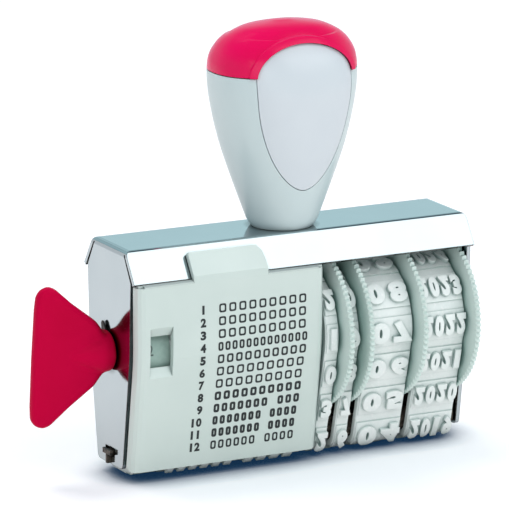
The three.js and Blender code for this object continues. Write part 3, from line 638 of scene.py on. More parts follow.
def evaluated_mesh(holder):
    """A new mesh of the object as its curve or its modifiers leave it."""
    bpy.context.view_layer.update()
    return bpy.data.meshes.new_from_object(holder.evaluated_get(bpy.context.evaluated_depsgraph_get()))


def numeral(character, weight, shoulder):
    """Points in a unit-high box with z 0 at the foot and 1 at the face, and the faces between them."""
    key = (character, weight, shoulder)
    if key not in numeral_shapes:
        curve = bpy.data.curves.new("numeral", "FONT")
        curve.body = character
        curve.offset = weight
        curve.extrude = numeral_depth
        curve.bevel_depth = shoulder
        curve.resolution_u = curve_steps
        holder = bpy.data.objects.new("numeral", curve)
        bpy.context.scene.collection.objects.link(holder)
        shape = evaluated_mesh(holder)
        points = np.array([v.co for v in shape.vertices], float).reshape(-1, 3)
        faces = [tuple(p.vertices) for p in shape.polygons]
        bpy.data.objects.remove(holder)
        bpy.data.meshes.remove(shape)
        low, high = points.min(0), points.max(0)
        height = high[1] - low[1]
        numeral_shapes[key] = ((points - low) / (height, height, high[2] - low[2]), faces)
    return numeral_shapes[key]


def numeral_in_cell(character, cell_width, height, weight, shoulder=0.0):
    """The numeral scaled to its height and squeezed or spread to fill the cell; a 1 keeps its width."""
    points, faces = numeral(character, weight, shoulder)
    width = points[:, 0].max() * height
    stretch = min(widest_one if character == "1" else widest_stretch, cell_width / width)
    placed = points * (height * stretch, height, 1)
    placed[:, 0] += (cell_width - placed[:, 0].max()) / 2
    return placed, faces


type_weight = 0.05
type_shoulder = 0.025
print("an 8 of the type has", len(numeral("8", type_weight, type_shoulder)[0]), "points")

# %% [markdown]
# ## The four date bands
# The type must print the right way round, so on the band it is mirrored: seen from the front it stands on
# its head. Each line sits on a low pad with a shallow groove to the next. The band, its pads and its
# characters are one moulding in real life and one mesh here.

# %% The parts of a date band
date_lines = 13
type_line = 4
pad_height = 0.3
pad_overlap = 0.8
pad_edge = 0.12
half_groove = 0.15
root_depth = 0.1
band_edge = 0.2
type_margin = 0.3
character_gap = 0.4


def band_base(belt, left, right):
    section = block_section(left, right, -band_thickness, 0, band_edge)
    return swept_strip(belt, section, 0, belt["length"], closed=True)


def pad_under(belt, left, right, middle, pitch):
    reach = min(type_line / 2 + pad_overlap, pitch / 2 - half_groove)
    section = block_section(left + band_edge, right - band_edge, -root_depth, pad_height, pad_edge)
    return swept_strip(belt, section, middle - reach, middle + reach)


def set_line(belt, words, left, right, middle):
    """Raised characters across the band, with their foot in the pad and their face at type height."""
    cell = (right - left - 2 * type_margin + character_gap) / len(words)
    parts = []
    for place, character in enumerate(words):
        shape, faces = numeral_in_cell(character, cell - character_gap, type_line, type_weight, type_shoulder)
        x0 = left + type_margin + place * cell
        points = []
        for u, v, w in shape:
            lift = pad_height - root_depth + w * (type_height - pad_height + root_depth)
            points.append((x0 + u, *belt_point(belt, middle + v - type_line / 2, lift)))
        parts.append((points, faces))
    return parts


date_pitch = date_belt["length"] / date_lines
print("a date line comes every", round(date_pitch, 2), "mm")

# %% The dates and the four bands
printing_year = 2018
printing_month = 3
printing_units = 5
printing_tens = 1


def line_turns(line, count):
    """How many lines from the printing one, counted the short way round."""
    return line - count if line > count / 2 else line


def date_words(band, turns):
    """The front of the band climbs with negative turns, so later dates sit higher up the front."""
    if band == "year_band":
        return str(printing_year - turns)
    if band == "month_band":
        return f"{(printing_month - turns - 1) % 12 + 1:02d}"
    if band == "day_units_band":
        return str((printing_units - turns) % 10)
    return str((printing_tens - turns) % 4)


for band in ("year_band", "month_band", "day_units_band", "day_tens_band"):
    low, high = box_of(band)
    parts = [band_base(date_belt, low[0], high[0])]
    for line in range(date_lines):
        turns = line_turns(line, date_lines)
        middle = turns * date_pitch
        parts.append(pad_under(date_belt, low[0], high[0], middle, date_pitch))
        parts.extend(set_line(date_belt, date_words(band, turns), low[0], high[0], middle))
    make_piece(f"{band}_type", *joined(parts), band_rubber, "stamp_body", "band_rubber", [band])

# %% [markdown]
# ## The phrase band
# The wide band carries twelve phrases, each set as plain raised blocks in two groups, as long as two
# words. At the left edge a small printed number tells, through the window of the cover, which phrase is at
# the printing face, so each number sits as far up the band as the window. The numbers stand on a strip of
# darker green-grey, which is painted shade: the cover shades the band behind its window.

# %% The blocks and the numbers of a phrase
window_height = axle_height + 1.5
phrase_length_shares = [1, 0.86, 0.94, 0.78, 0.9, 0.7, 0.82, 0.96, 0.74, 0.88, 0.8, 0.92]
phrase_lines = len(phrase_length_shares)
word_share = 0.55
letter_width = 1.8
letter_gap = 0.9
phrase_inset = 7
block_shoulder = 0.15
printing_phrase = 2
number_height = 2.1
number_cell = 1.25
number_gap = 0.2
number_left = 1.7
number_weight = 0.01
strip_left = 0.5
strip_right = 6.4
strip_film = 0.02
strip_edge = 0.05
ink_film = 0.03
halvings = 40


def belt_distance_at(belt, height):
    """The distance up the front of the band to this height, found by halving."""
    low, high = belt["marks"][0], belt["length"] / 2
    for _ in range(halvings):
        middle = (low + high) / 2
        if belt_point(belt, middle, 0)[1] < height:
            low = middle
        else:
            high = middle
    return -low


def phrase_blocks(left, right, share):
    """The left and right edges of the blocks of one phrase: two words of letter-wide blocks."""
    length = (right - left) * share
    split = left + length * word_share
    edges = []
    for start, end in ((left, split - letter_gap), (split + 2 * letter_gap, left + length)):
        count = max(1, round((end - start + letter_gap) / (letter_width + letter_gap)))
        cell = (end - start + letter_gap) / count
        edges.extend((start + i * cell, start + (i + 1) * cell - letter_gap) for i in range(count))
    return edges


window_distance = belt_distance_at(phrase_belt, window_height)
print("the window is", round(-window_distance, 1), "mm up the band from the printing line")

# %% The phrase band
phrase_left, phrase_right = (corner[0] for corner in box_of("phrase_band"))
phrase_pitch = phrase_belt["length"] / phrase_lines


def raised_blocks(share, middle):
    """The blocks of one phrase, each swept over one line of type."""
    first, last = phrase_left + phrase_inset, phrase_right - type_margin
    blocks = []
    for x0, x1 in phrase_blocks(first, last, share):
        section = block_section(x0, x1, pad_height - root_depth, type_height, block_shoulder)
        blocks.append(swept_strip(phrase_belt, section, middle - type_line / 2, middle + type_line / 2))
    return blocks


def printed_number(number, middle):
    digits = []
    for place, character in enumerate(str(number)):
        shape, faces = numeral_in_cell(character, number_cell - number_gap, number_height, number_weight)
        x0 = phrase_left + number_left + place * number_cell
        points = []
        for u, v, w in shape:
            along = window_distance + middle - (v - 0.5 * number_height)
            lift = pad_height + strip_film + ink_film * w
            points.append((x0 + u, *belt_point(phrase_belt, along, lift)))
        digits.append((points, faces))
    return digits


parts, number_parts = [band_base(phrase_belt, phrase_left, phrase_right)], []
for line, share in enumerate(phrase_length_shares):
    turns = line_turns(line, phrase_lines)
    middle = turns * phrase_pitch
    parts.append(pad_under(phrase_belt, phrase_left, phrase_right, middle, phrase_pitch))
    parts.extend(raised_blocks(share, middle))
    number_parts.extend(printed_number((printing_phrase - turns - 1) % phrase_lines + 1, middle))
make_piece("phrase_band_type", *joined(parts), band_rubber, "stamp_body", "band_rubber", ["phrase_band"])
make_piece("phrase_band_numbers", *joined(number_parts), number_ink, "stamp_body", "band_rubber")
# the green-grey strip is painted shade, where the cover shades the band behind its window
strip_ends = phrase_left + strip_left, phrase_left + strip_right
section = block_section(*strip_ends, -strip_edge, pad_height + strip_film, strip_edge)
strip = swept_strip(phrase_belt, section, 0, phrase_belt["length"], closed=True)
make_piece("phrase_band_painted_shade_strip", *strip, painted_window_shade, "stamp_body", "band_rubber")

# %% [markdown]
# ## Thumb wheels
# A thumb wheel is a thin disc with fine teeth round its rim, moulded in one with the hub that drives the
# band. A revolved profile makes disc and hub together, and the rim alone is waved in and out to make the
# teeth, so the finger feels a tooth about every millimetre.

# %% Thumb wheels
rim_teeth = 90
tooth_depth = 0.5
steps_per_tooth = 6
hub_wall = 1.4
bore_radius = 1.8
boss_radius = 3.4
disc_thickness = 1.0
rim_edge = 0.18
rim_band = 1.6


def revolved_wheel(profile, steps):
    """profile lists (x, radius, share of the tooth) round the closed section of the wheel."""
    points = []
    for i in range(steps):
        angle = 2 * math.pi * i / steps
        wave = 0.5 - 0.5 * math.cos(2 * math.pi * i / steps_per_tooth)
        for x, radius, share in profile:
            r = radius - tooth_depth * wave * share
            points.append((x, r * math.cos(angle), axle_height + r * math.sin(angle)))
    return points, ring_faces(steps, len(profile), closed=True)


for wheel in ("year", "month", "day_units", "day_tens"):
    low, high = box_of(f"{wheel}_wheel")
    right, left = high[0], high[0] - disc_thickness
    tip = low[0]
    profile = [
        (right, bore_radius, 0),
        (right, disc_radius - rim_band, 0),
        (right, disc_radius - rim_edge, 1),
        (right - rim_edge, disc_radius, 1),
        (left + rim_edge, disc_radius, 1),
        (left, disc_radius - rim_edge, 1),
        (left, disc_radius - rim_band, 0),
        (left, date_hub_radius, 0),
        (tip, date_hub_radius, 0),
        (tip, date_hub_radius - hub_wall, 0),
        (left, date_hub_radius - hub_wall, 0),
        (left, boss_radius, 0),
        (tip, boss_radius, 0),
        (tip, bore_radius, 0),
    ]
    disc = revolved_wheel(profile, rim_teeth * steps_per_tooth)
    name, body, solid = f"{wheel}_thumb_wheel", f"{wheel}_dial", f"{wheel}_wheel"
    make_piece(name, *disc, wheel_plastic, body, "wheel_plastic", [solid])

# %% [markdown]
# ## Skinning rings
# The handle and the knob are soft forms. A stack of rings skinned together makes a closed shell, and a
# boolean then cuts one shell with another. The modifier is applied at once, so that only the cut mesh
# stays, and the tool that cut it is thrown away.

# %% Skin and cut
slab_reach = 60


def skinned(rings):
    return [p for ring in rings for p in ring], ring_faces(len(rings), len(rings[0]))


def plain_object(points, faces):
    return mesh_object("working_shell", points, faces)


def applied(shell):
    """The object with its modifiers turned into mesh."""
    mesh, old = evaluated_mesh(shell), shell.data
    shell.modifiers.clear()
    shell.data = mesh
    bpy.data.meshes.remove(old)
    return shell


def cut(shell, tool, operation):
    boolean = shell.modifiers.new("cut", "BOOLEAN")
    boolean.operation = operation
    boolean.solver = "EXACT"
    boolean.object = tool
    applied(shell)
    bpy.data.objects.remove(tool)
    return shell


def prism_along_y(outline, y0, y1):
    """A closed outline in X and Z, drawn out along Y."""
    return plain_object(*skinned([[(x, y, z) for x, z in outline] for y in (y0, y1)]))


def slab(z0, z1):
    corners = [(-slab_reach, z0), (slab_reach, z0), (slab_reach, z1), (-slab_reach, z1)]
    return prism_along_y(corners, -slab_reach, slab_reach)


# %% [markdown]
# ## The handle's form
# One curved side profile gives the handle: slim and round at the foot, broadest three quarters up, and
# domed over the top, where the section is flattened front to back and both faces lean in. The profile is a
# smooth curve through a few widths and heights, and each ring of the skin is a rounded oval whose
# squareness grows with height.

# %% Handle profile
handle_x = 0.2
seat_gap = 0.05
handle_base = plate_height + seat_gap
handle_height = 40.4
handle_width = 29.4
handle_depth = 24.8
lean_start = 25.9
lean_share = 0.24
side_profile = np.array(
    [
        (13 / 2, 0),
        (24.84 / 2, 17.3),
        (handle_width / 2, 30.4),
        (26.9 / 2, 36),
        (17.64 / 2, 39.2),
        (3.52 / 2, handle_height),
    ]
)
broad_height = side_profile[2][1]


def profile_at(t):
    """A Catmull-Rom curve through the profile's points, and its direction."""
    last = len(side_profile) - 1
    span = min(int(t * last), last - 1)
    w = t * last - span
    p0, p1 = side_profile[max(span - 1, 0)], side_profile[span]
    p2, p3 = side_profile[span + 1], side_profile[min(span + 2, last)]
    v0, v1 = (p2 - p0) / 2, (p3 - p1) / 2
    if span == 0:
        v0 = (p2 - p1) / 2
    point = (2 * p1 - 2 * p2 + v0 + v1) * w**3 + (-3 * p1 + 3 * p2 - 2 * v0 - v1) * w**2 + v0 * w + p1
    slope = 3 * (2 * p1 - 2 * p2 + v0 + v1) * w**2 + 2 * (-3 * p1 + 3 * p2 - 2 * v0 - v1) * w + v0
    return point, slope / np.linalg.norm(slope)


def smooth_share(value, low, high):
    """0 below low, 1 above high, and a soft S between them."""
    x = min(1.0, max(0.0, (value - low) / (high - low)))
    return x * x * (3 - 2 * x)


print("the handle is", handle_width, "mm wide at its broadest,", broad_height, "mm up")

# %% [markdown]
# ## The inset's outline
# A plate is let into the front and the back of the handle. Its outline is an arch above its broadest line
# and a long drop below. The same function gives the plate, the pocket that it sits in and the raised lip
# of the cap round the arch, each grown by its own clearance.

# %% Inset outline
inset_width = 20.2
inset_broad = 30.6
inset_top = 37
inset_foot = 8.5
drop_power = 0.58


def inset_outline(grow, steps=48):
    half = inset_width / 2 + grow
    arch = inset_top - inset_broad + grow
    drop = inset_broad - inset_foot + grow
    base = handle_base + inset_broad
    right = []
    for i in range(steps):
        down = math.cos(math.pi / 2 * i / steps)
        right.append((half * (1 - down**2) ** drop_power, -drop * down))
    for i in range(steps + 1):
        turn = math.pi / 2 * i / steps
        right.append((half * math.cos(turn) if i < steps else 0.0, arch * math.sin(turn)))
    left = [(-x, z) for x, z in right[1:-1]][::-1]
    return [(handle_x + x, base + z) for x, z in right + left]


print("the inset's outline has", len(inset_outline(0)), "points")

# %% [markdown]
# ## The cap's fold
# The red cap isn't a plain dome. A fold runs level round it where the side turns into the roof: there the
# roof starts a little further in, and comes out to the dome again higher up. It is given as a small shift
# of the skin, deepest in front and behind, because a moulded fold has no hard line.

# %% Rings of the handle
roof_height = 38
fold_height = 0.4
fold_depth = 0.6
fold_fade = 2.2
foot_round = 0.5
foot_height = 1.2
squareness = 0.3
inner_end = 0.97


def handle_ring(t, shrink, steps, folds):
    point, along = profile_at(t)
    rise = smooth_share(point[1], 0, broad_height)
    lean = smooth_share(point[1], lean_start, handle_height)
    flat = (1 + (handle_depth / handle_width - 1) * rise) * (1 - lean_share * lean)
    power = 2 / (2 + squareness * rise)
    fold = 0.0
    if folds:
        roof = smooth_share(point[1], roof_height - fold_height / 2, roof_height + fold_height / 2)
        fold = fold_depth * roof * (1 - smooth_share(point[1], roof_height, roof_height + fold_fade))
    foot = foot_round * (1 - smooth_share(point[1], 0, foot_height))
    width = point[0] - shrink * along[1] - foot
    depth = point[0] * flat - shrink * along[1] - foot
    height = handle_base + point[1] + shrink * along[0]
    ring = []
    for i in range(steps):
        turn = 2 * math.pi * i / steps
        bulge = [math.copysign(abs(v) ** power, v) for v in (math.cos(turn), math.sin(turn))]
        inward = fold * along[1] * bulge[1] ** 2
        down = fold * along[0] * bulge[1] ** 2
        ring.append((handle_x + (width - inward) * bulge[0], (depth - inward) * bulge[1], height + down))
    return ring


def handle_shell(shrink, rings=72, steps=128, folds=False, first=0.0):
    last = inner_end if shrink > 0 else 1.0
    stops = [first + (last - first) * i / (rings - 1) for i in range(rings)]
    return plain_object(*skinned([handle_ring(t, shrink, steps, folds) for t in stops]))


print("the cap's fold lies", roof_height, "mm up the handle")

# %% [markdown]
# ## Cutting the handle into its pieces
# The body, the cap and the two plates are cut from the same shell, so their surfaces run on across the
# joints. A pocket is the outline's prism with the inner shell taken away, which leaves a floor that
# follows the outside. The lip round the arch of the inset is cut from a slightly larger shell and joined
# to the cap before the pocket opens.

# %% Cut the handle
cap_joint = 31
joint_gap = 0.2
inset_thickness = 1.0
inset_gap = 0.15
lip_width = 1.3
lip_height = 0.55
handle_reach = 30
below_foot = 5
above_top = 60
cap_start = 0.3


def side_span(side):
    return (-handle_reach, 0) if side < 0 else (0, handle_reach)


def pocket_tool(side):
    tool = prism_along_y(inset_outline(inset_gap), *side_span(side))
    return cut(tool, handle_shell(inset_thickness + inset_gap), "DIFFERENCE")


def above_joint():
    return slab(handle_base + cap_joint + joint_gap, handle_base + above_top)


def handle_piece(shell, name, material, stands_for):
    shell.name = name
    finish_piece(shell, material, "stamp_body", [stands_for])


grip = cut(handle_shell(0), slab(handle_base - below_foot, handle_base + cap_joint), "INTERSECT")
for side in (-1, 1):
    cut(grip, pocket_tool(side), "DIFFERENCE")
handle_piece(grip, "handle_grip", handle_plastic, "handle_body")

# %% Cut the cap
cap = cut(handle_shell(0, rings=110, steps=192, folds=True, first=cap_start), above_joint(), "INTERSECT")
for side in (-1, 1):
    arch = prism_along_y(inset_outline(lip_width), *side_span(side))
    lip = cut(cut(handle_shell(-lip_height), arch, "INTERSECT"), above_joint(), "INTERSECT")
    cut(cap, lip, "UNION")
    cut(cap, pocket_tool(side), "DIFFERENCE")
handle_piece(cap, "handle_red_cap", cap_plastic, "handle_cap")

# %% Cut the plates
for face, side in (("front", -1), ("rear", 1)):
    plate = cut(handle_shell(0), prism_along_y(inset_outline(0), *side_span(side)), "INTERSECT")
    cut(plate, handle_shell(inset_thickness), "DIFFERENCE")
    solid = f"handle_{face}_inset"
    handle_piece(plate, f"handle_{face}_plate", inset_plastic, solid)

# %% [markdown]
# ## The winged knob
# The knob is a flat wing on a round hub, with every edge well rounded so that it's kind to the fingers.
# A flat outline is thickened, bevelled and thinned towards its far edge, the hub is added, and a fine voxel
# remesh melts the two into one skin. A little smoothing then leaves the soft hollow that a mould has
# between wing and hub. The neck reaches over the washer, so that only a thin dark gap and the small lug of
# the washer show. The knob stands turned by 7 degrees about the axle.

# %% The knob's sizes
knob_edge, knob_face = (corner[0] for corner in box_of("knob"))
knob_lean = math.radians(7)
knob_half = 14.4
knob_neck = 3.5
wing_thickness = 4.2
wing_taper = 0.42
wing_round = 1.95
wing_edge_steps = 8
wing_edge_beyond = 60
taper_start = 0.15
edge_curve = 29
neck_reach = 0.68
voxel = 0.22
smoothings = 30
least_trim = 1e-6


def rounded(points, radii, steps=8):
    """A closed outline whose corners are turned into curves of the given size."""
    outline = []
    count = len(points)
    for i in range(count):
        here = np.array(points[i], float)
        back = np.array(points[i - 1], float) - here
        on = np.array(points[(i + 1) % count], float) - here
        bend = math.acos(max(-1, min(1, back @ on / np.linalg.norm(back) / np.linalg.norm(on))))
        trim = min(radii[i] / math.tan(bend / 2), np.linalg.norm(back) / 2, np.linalg.norm(on) / 2)
        start = here + back / np.linalg.norm(back) * trim
        end = here + on / np.linalg.norm(on) * trim
        if trim < least_trim:
            outline.append(tuple(here))
            continue
        for k in range(steps + 1):
            t = k / steps
            outline.append(tuple((1 - t) ** 2 * start + 2 * t * (1 - t) * here + t * t * end))
    return outline


print("the knob reaches", round(knob_face - knob_edge, 1), "mm out from its face")

# %% The knob's wing
wing_half = [
    (knob_face, knob_neck, 0),
    (knob_face - 1.1, 4.4, 1.2),
    (knob_face - 2.6, 6.5, 2.2),
    (knob_face - 7.8, 10.6, 12),
    (knob_edge + 4.2, 13.8, 2),
    (knob_edge + 2.9, knob_half, 2),
    (knob_edge + 1.2, knob_half - 0.5, 2),
    (knob_edge + 0.3, knob_half - 1.8, 2),
    (knob_edge + 0.12, knob_half - 4.2, 4),
]
wing_points = [(x, axle_height + z, r) for x, z, r in wing_half]
wing_points.append((knob_edge, axle_height, edge_curve))
wing_points += [(x, axle_height - z, r) for x, z, r in reversed(wing_half)]
wing_outline = rounded([p[:2] for p in wing_points], [p[2] for p in wing_points])
knob = prism_along_y(wing_outline, -wing_thickness / 2, wing_thickness / 2)
wing_edges = knob.modifiers.new("edges", "BEVEL")
wing_edges.width = wing_round * millimetre
wing_edges.segments = wing_edge_steps
wing_edges.limit_method = "ANGLE"
wing_edges.angle_limit = math.radians(wing_edge_beyond)
applied(knob)
for vertex in knob.data.vertices:
    out = (knob_face - vertex.co.x / millimetre) / (knob_face - knob_edge)
    vertex.co.y *= 1 - wing_taper * smooth_share(out, taper_start, 1.0)
print("the wing's outline has", len(wing_outline), "points")

# %% The knob's hub, and the two melted into one
neck_end = knob_face + neck_reach
hub_profile = [
    (knob_face - 10, 0.3),
    (knob_face - 9.6, 1.2),
    (knob_face - 7.5, 2.0),
    (knob_face - 5.2, 2.9),
    (knob_face - 3, 3.7),
    (knob_face - 1.4, 4.1),
    (neck_end - 0.2, 4.05),
    (neck_end, 3.85),
    (neck_end, 0.3),
]
hub_steps = 64
turns = [2 * math.pi * i / hub_steps for i in range(hub_steps)]
hub_rings = [
    [(x, radius * math.cos(turn), axle_height + radius * math.sin(turn)) for turn in turns]
    for x, radius in hub_profile
]
knob_hub = plain_object(*skinned(hub_rings))
cut(knob, knob_hub, "UNION")
melt = knob.modifiers.new("melt", "REMESH")
melt.mode = "VOXEL"
melt.voxel_size = voxel * millimetre
soften = knob.modifiers.new("soften", "SMOOTH")
soften.factor = 0.5
soften.iterations = smoothings
applied(knob)
lean = Matrix.Translation((0, 0, axle_height * millimetre)) @ Matrix.Rotation(knob_lean, 4, "X")
knob.data.transform(lean @ Matrix.Translation((0, 0, -axle_height * millimetre)))
knob.name = "winged_knob"
finish_piece(knob, knob_plastic, "knob_shaft", ["knob"], crease=80)

# %% [markdown]
# ## The washer's lug
# A small lug stands out from the rim of the thin washer under the knob. It shows as a dark point above the
# knob's neck. Its outline tapers outwards to a blunt point.

# %% The washer's lug
lug_up = 5.6
lug_back = 2.2
lug_thickness = 0.3
lug_corners = [(3.0, -1.1), (5.5, -0.45), (5.8, 0.0), (5.5, 0.45), (3.0, 1.1)]
lug_turn = math.atan2(lug_up, lug_back)
lug_middle = sum(corner[0] for corner in box_of("knob_washer")) / 2


def lug_ring(x):
    """The lug's outline, given as reach from the axle and distance aside, turned to its place."""
    cos, sin = math.cos(lug_turn), math.sin(lug_turn)
    return [(x, out * cos - aside * sin, axle_height + out * sin + aside * cos) for out, aside in lug_corners]


lug = skinned([lug_ring(lug_middle + side * lug_thickness / 2) for side in (-1, 1)])
make_piece("knob_washer_lug", *lug, washer_steel, "knob_shaft", "drawn_steel")

# %% [markdown]
# ## A lip on top of the cover
# On both sides of the tab a thin lip on the top of the cover closes the gap under the edge of the apron. It
# is one profile, drawn out over four runs, and the short outer runs stand a little back.

# %% Lip on top of the cover
lip_front = -12.15
lip_front_outer = -11.5
lip_runs = [
    (-36.3, -35.3, lip_front_outer),
    (-35.3, -24.95, lip_front),
    (-8.95, 1.85, lip_front),
    (1.85, 2.9, lip_front_outer),
]
lip_profile = [
    (lip_front, 39.38),
    (lip_front, 39.62),
    (-11.95, 39.78),
    (-11.05, 39.86),
    (-10.42, 39.46),
    (-10.42, 38.8),
    (-10.98, 38.8),
    (-10.98, 39.38),
]
lips = [
    skinned([[(x, max(y, front), z) for y, z in lip_profile] for x in (left, right)])
    for left, right, front in lip_runs
]
make_piece("cover_top_lips", *joined(lips), cover_plastic, "stamp_body", "cover_plastic")

# %% [markdown]
# ## The printed list
# The cover carries a list: a number and a phrase on each line. The numbers are printed here, and each
# phrase is a row of plain open boxes. For each row, row_boxes counts its boxes, row_shares gives the share
# of the width that they fill, and row_blanks leaves one out. Four rows are printed bolder. Ink is a film on
# the surface, so every point is laid on the front of the cover, which stands upright above the axle and
# slopes in below it.

# %% Front of the cover
cover_front = 12.2
cover_foot_front = 8.7
cover_foot = box_of("phrase_cover")[0][2]
cover_bend = 3


def cover_front_at(z):
    slope = (cover_front - cover_foot_front) / (axle_height - cover_foot)
    fall = axle_height - z
    if fall <= -cover_bend:
        return cover_front
    if fall >= cover_bend:
        return cover_front - slope * fall
    return cover_front - slope * (fall + cover_bend) ** 2 / (4 * cover_bend)


def on_cover(x, z, lift):
    return (x, -cover_front_at(z) - lift, z)


print("the cover's foot lies", round(cover_front_at(cover_foot), 2), "mm in front of the middle")

# %% Print the list
list_rows = 12
first_row_height = axle_height + 8.9
last_row_height = axle_height - 18.8
number_right = -22.4
digit_width = 1.15
digit_pitch = 1.3
digit_weight = 0.045
list_left = -19.6
list_right = 0.4
row_drift = -0.5
ink_height = 1.75
ink_foot = 0.01
plain_stroke = 0.34
bold_stroke = 0.46
box_corner = 0.45
box_fill_share = 0.7
row_boxes = [9, 9, 9, 13, 10, 9, 9, 10, 11, 12, 12, 11]
row_blanks = {8: 7, 9: 7, 10: 7, 11: 6}
bold_rows = range(7, 11)
row_shares = [0.97, 0.97, 0.97, 0.98, 0.98, 0.97, 0.96, 0.96, 0.95, 0.93, 0.92, 0.92]


def printed_numeral(character, left, foot):
    shape, faces = numeral_in_cell(character, digit_width, ink_height, digit_weight)
    return [on_cover(left + u, foot + v, ink_foot + ink_film * w) for u, v, w in shape], faces


def printed_box(left, right, foot, stroke):
    """An open box with round corners: a flat ring of ink."""
    high = foot + ink_height
    corners = [(left, foot), (right, foot), (right, high), (left, high)]
    outer = rounded(corners, [box_corner] * 4, steps=3)
    middle_x, middle_z = (left + right) / 2, (foot + high) / 2
    narrow_x = 1 - 2 * stroke / (right - left)
    narrow_z = 1 - 2 * stroke / ink_height
    inner = [(middle_x + (x - middle_x) * narrow_x, middle_z + (z - middle_z) * narrow_z) for x, z in outer]
    rings = [(outer, 0.0), (outer, ink_film), (inner, ink_film), (inner, 0.0)]
    points = [on_cover(x, z, lift) for outline, lift in rings for x, z in outline]
    return points, ring_faces(len(rings), len(outer), closed=True)


number_marks, phrase_marks = [], []
for row in range(list_rows):
    share = row / (list_rows - 1)
    foot = first_row_height + (last_row_height - first_row_height) * share - ink_height / 2
    for place, character in enumerate(reversed(str(row + 1))):
        left = number_right - digit_width - place * digit_pitch
        number_marks.append(printed_numeral(character, left, foot))
    left = list_left + row_drift * share
    cell = (list_right - list_left) * row_shares[row] / row_boxes[row]
    stroke = bold_stroke if row in bold_rows else plain_stroke
    for i in range(row_boxes[row]):
        if row_blanks.get(row) != i:
            x0 = left + i * cell
            phrase_marks.append(printed_box(x0, x0 + cell * box_fill_share, foot, stroke))
make_piece("cover_list_numbers", *joined(number_marks), list_ink, "stamp_body", "cover_plastic")
make_piece("cover_list_boxes", *joined(phrase_marks), list_ink, "stamp_body", "cover_plastic")

# %% [markdown]
# ## The studio
# The object stands on a pale floor under three broad soft lamps, with an even pale surround that fills the
# shadows. To the camera the surround is white. In reflections it is a pale room with a darker ceiling, so
# that the steel has something to mirror, and the overhead lamp is left out of them. The floor stays a real
# surface, so it keeps the cool shadow under the dater, and a faint glow that only the camera sees lifts it
# towards white. Where the floor lies close under the dater, a deep blue painted shadow darkens both the
# floor and its glow.

# %% Floor
floor_reach = 1.6
floor_drop = 0.02
glow_strength = 0.34


def pale_floor():
    material, tree, place = start_material("pale_studio_paper")
    paper = mottled(tree, place, "#fcf8f6", "#fefaf8", size=60)
    # painted shadow: deep blue where the floor lies close under the dater
    paper = darker_in_hollows(tree, paper, "#06294a", reach=10)
    shader = add_node(tree, "ShaderNodeBsdfDiffuse", {"Color": paper})
    tone = mottled(tree, place, "#80a5b6", "#84a8b8", size=60)
    # the glow gets a painted shadow too, so the floor under the dater is not lifted
    tone = darker_in_hollows(tree, tone, "#28517a", reach=6)
    seen = add_node(tree, "ShaderNodeLightPath").outputs["Is Camera Ray"]
    strength = add_node(tree, "ShaderNodeMath", {0: seen, 1: glow_strength}, operation="MULTIPLY").outputs[0]
    glow = add_node(tree, "ShaderNodeEmission", {"Color": tone, "Strength": strength})
    both = add_node(tree, "ShaderNodeAddShader", {0: shader.outputs[0], 1: glow.outputs[0]})
    add_node(tree, "ShaderNodeOutputMaterial", {"Surface": both.outputs[0]})
    return material


floor_mesh = bpy.data.meshes.new("floor")
floor_corners = [(x * floor_reach, y * floor_reach, 0) for x, y in ((-1, -1), (1, -1), (1, 1), (-1, 1))]
floor_mesh.from_pydata(floor_corners, [], [(0, 1, 2, 3)])
floor = bpy.data.objects.new("floor", floor_mesh)
floor.location.z = -floor_drop * millimetre
floor_mesh.materials.append(pale_floor())
bpy.context.scene.collection.objects.link(floor)
print("floor", 2 * floor_reach, "m wide")


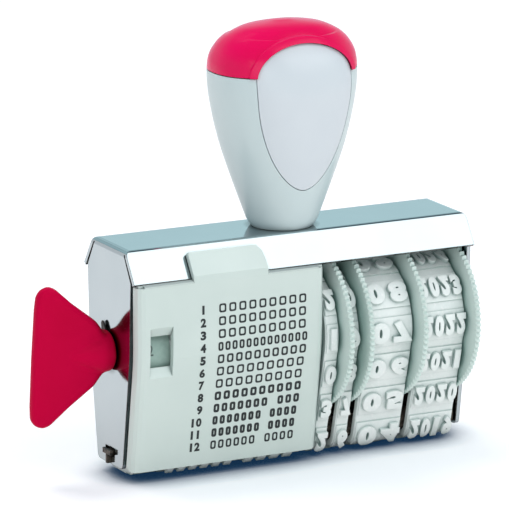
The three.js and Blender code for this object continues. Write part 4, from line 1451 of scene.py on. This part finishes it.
# %% Surround
def pale_surround():
    world = bpy.data.worlds.new("pale_surround")
    bpy.context.scene.world = world
    world.use_nodes = True
    tree = world.node_tree
    tree.nodes.clear()
    seen = add_node(tree, "ShaderNodeLightPath").outputs
    direct = seen["Is Camera Ray"]
    for ray in ("Is Transmission Ray", "Is Glossy Ray"):
        rays = {0: direct, 1: seen[ray]}
        direct = add_node(tree, "ShaderNodeMath", rays, operation="ADD", use_clamp=True).outputs[0]
    direction = add_node(tree, "ShaderNodeTexCoord").outputs["Generated"]
    height = add_node(tree, "ShaderNodeSeparateXYZ", {"Vector": direction}).outputs["Z"]
    rise = add_node(tree, "ShaderNodeMapRange", {"Value": height, "From Min": 0.3, "From Max": 0.75})
    ends = {"Factor": rise.outputs["Result"], "A": linear("#cdebf1"), "B": linear("#62727a")}
    room = add_node(tree, "ShaderNodeMix", ends, data_type="RGBA").outputs["Result"]
    ends = {"Factor": seen["Is Glossy Ray"], "A": linear("#ffffff"), "B": room}
    shown = add_node(tree, "ShaderNodeMix", ends, data_type="RGBA").outputs["Result"]
    white = add_node(tree, "ShaderNodeBackground", {"Color": shown, "Strength": 1.0}).outputs[0]
    soft = add_node(tree, "ShaderNodeBackground", {"Color": linear("#f4f8ff"), "Strength": 0.7}).outputs[0]
    mix = add_node(tree, "ShaderNodeMixShader", {"Fac": direct, 1: soft, 2: white})
    add_node(tree, "ShaderNodeOutputWorld", {"Surface": mix.outputs[0]})
    print("made", world.name)


pale_surround()


# %% Lamps
middle_of_part = Vector((0, 0, 0.04))


def soft_lamp(name, place, size, watts):
    lamp = bpy.data.lights.new(name, "AREA")
    lamp.shape = "SQUARE"
    lamp.size = size
    lamp.energy = watts
    holder = bpy.data.objects.new(name, lamp)
    bpy.context.scene.collection.objects.link(holder)
    holder.location = place
    holder.rotation_euler = (holder.location - middle_of_part).to_track_quat("Z", "Y").to_euler()
    print(name, watts, "W")
    return holder


overhead = soft_lamp("overhead_softbox", (-0.1, 0.35, 0.85), size=0.35, watts=2.7)
overhead.visible_glossy = False
soft_lamp("front_softbox", (0.446, -0.566, 0.727), size=0.7, watts=2.9)
soft_lamp("side_softbox", (-0.45, -0.8, 0.5), size=0.6, watts=1.6)

# %% [markdown]
# ## The camera
# The picture was taken from the left and a little above with a long lens, so the near and far ends of the
# frame look almost the same size. The camera's axes are worked out from its two angles, and its distance
# and lens length keep the flat perspective.

# %% Camera
azimuth = math.radians(-27.3)
elevation = math.radians(13.4)
distance = 1000
aim_right = -5.1
aim_up = 36.3
aim_lift = 2.4
image_side = 509
focal_pixels = 5106
sensor = 36

right = np.array((math.cos(azimuth), math.sin(azimuth), 0))
back = np.array(
    (math.sin(azimuth) * math.cos(elevation), -math.cos(azimuth) * math.cos(elevation), math.sin(elevation))
)
up = np.cross(back, right)
place = right * aim_right + up * aim_up + back * distance + np.array((0, 0, aim_lift))
camera_data = bpy.data.cameras.new("camera")
camera_data.sensor_width = sensor
camera_data.lens = focal_pixels * sensor / image_side
camera = bpy.data.objects.new("camera", camera_data)
bpy.context.scene.collection.objects.link(camera)
camera.matrix_world = Matrix(
    [[right[i], up[i], back[i], place[i] * millimetre] for i in range(3)] + [[0, 0, 0, 1]]
)
bpy.context.scene.camera = camera
bpy.context.scene.view_settings.view_transform = "Standard"
print("lens", round(camera_data.lens, 1), "mm")

# %% [markdown]
# ## Finishing
# The view layer is updated once more at the end.

# %% Finish
bpy.context.view_layer.update()
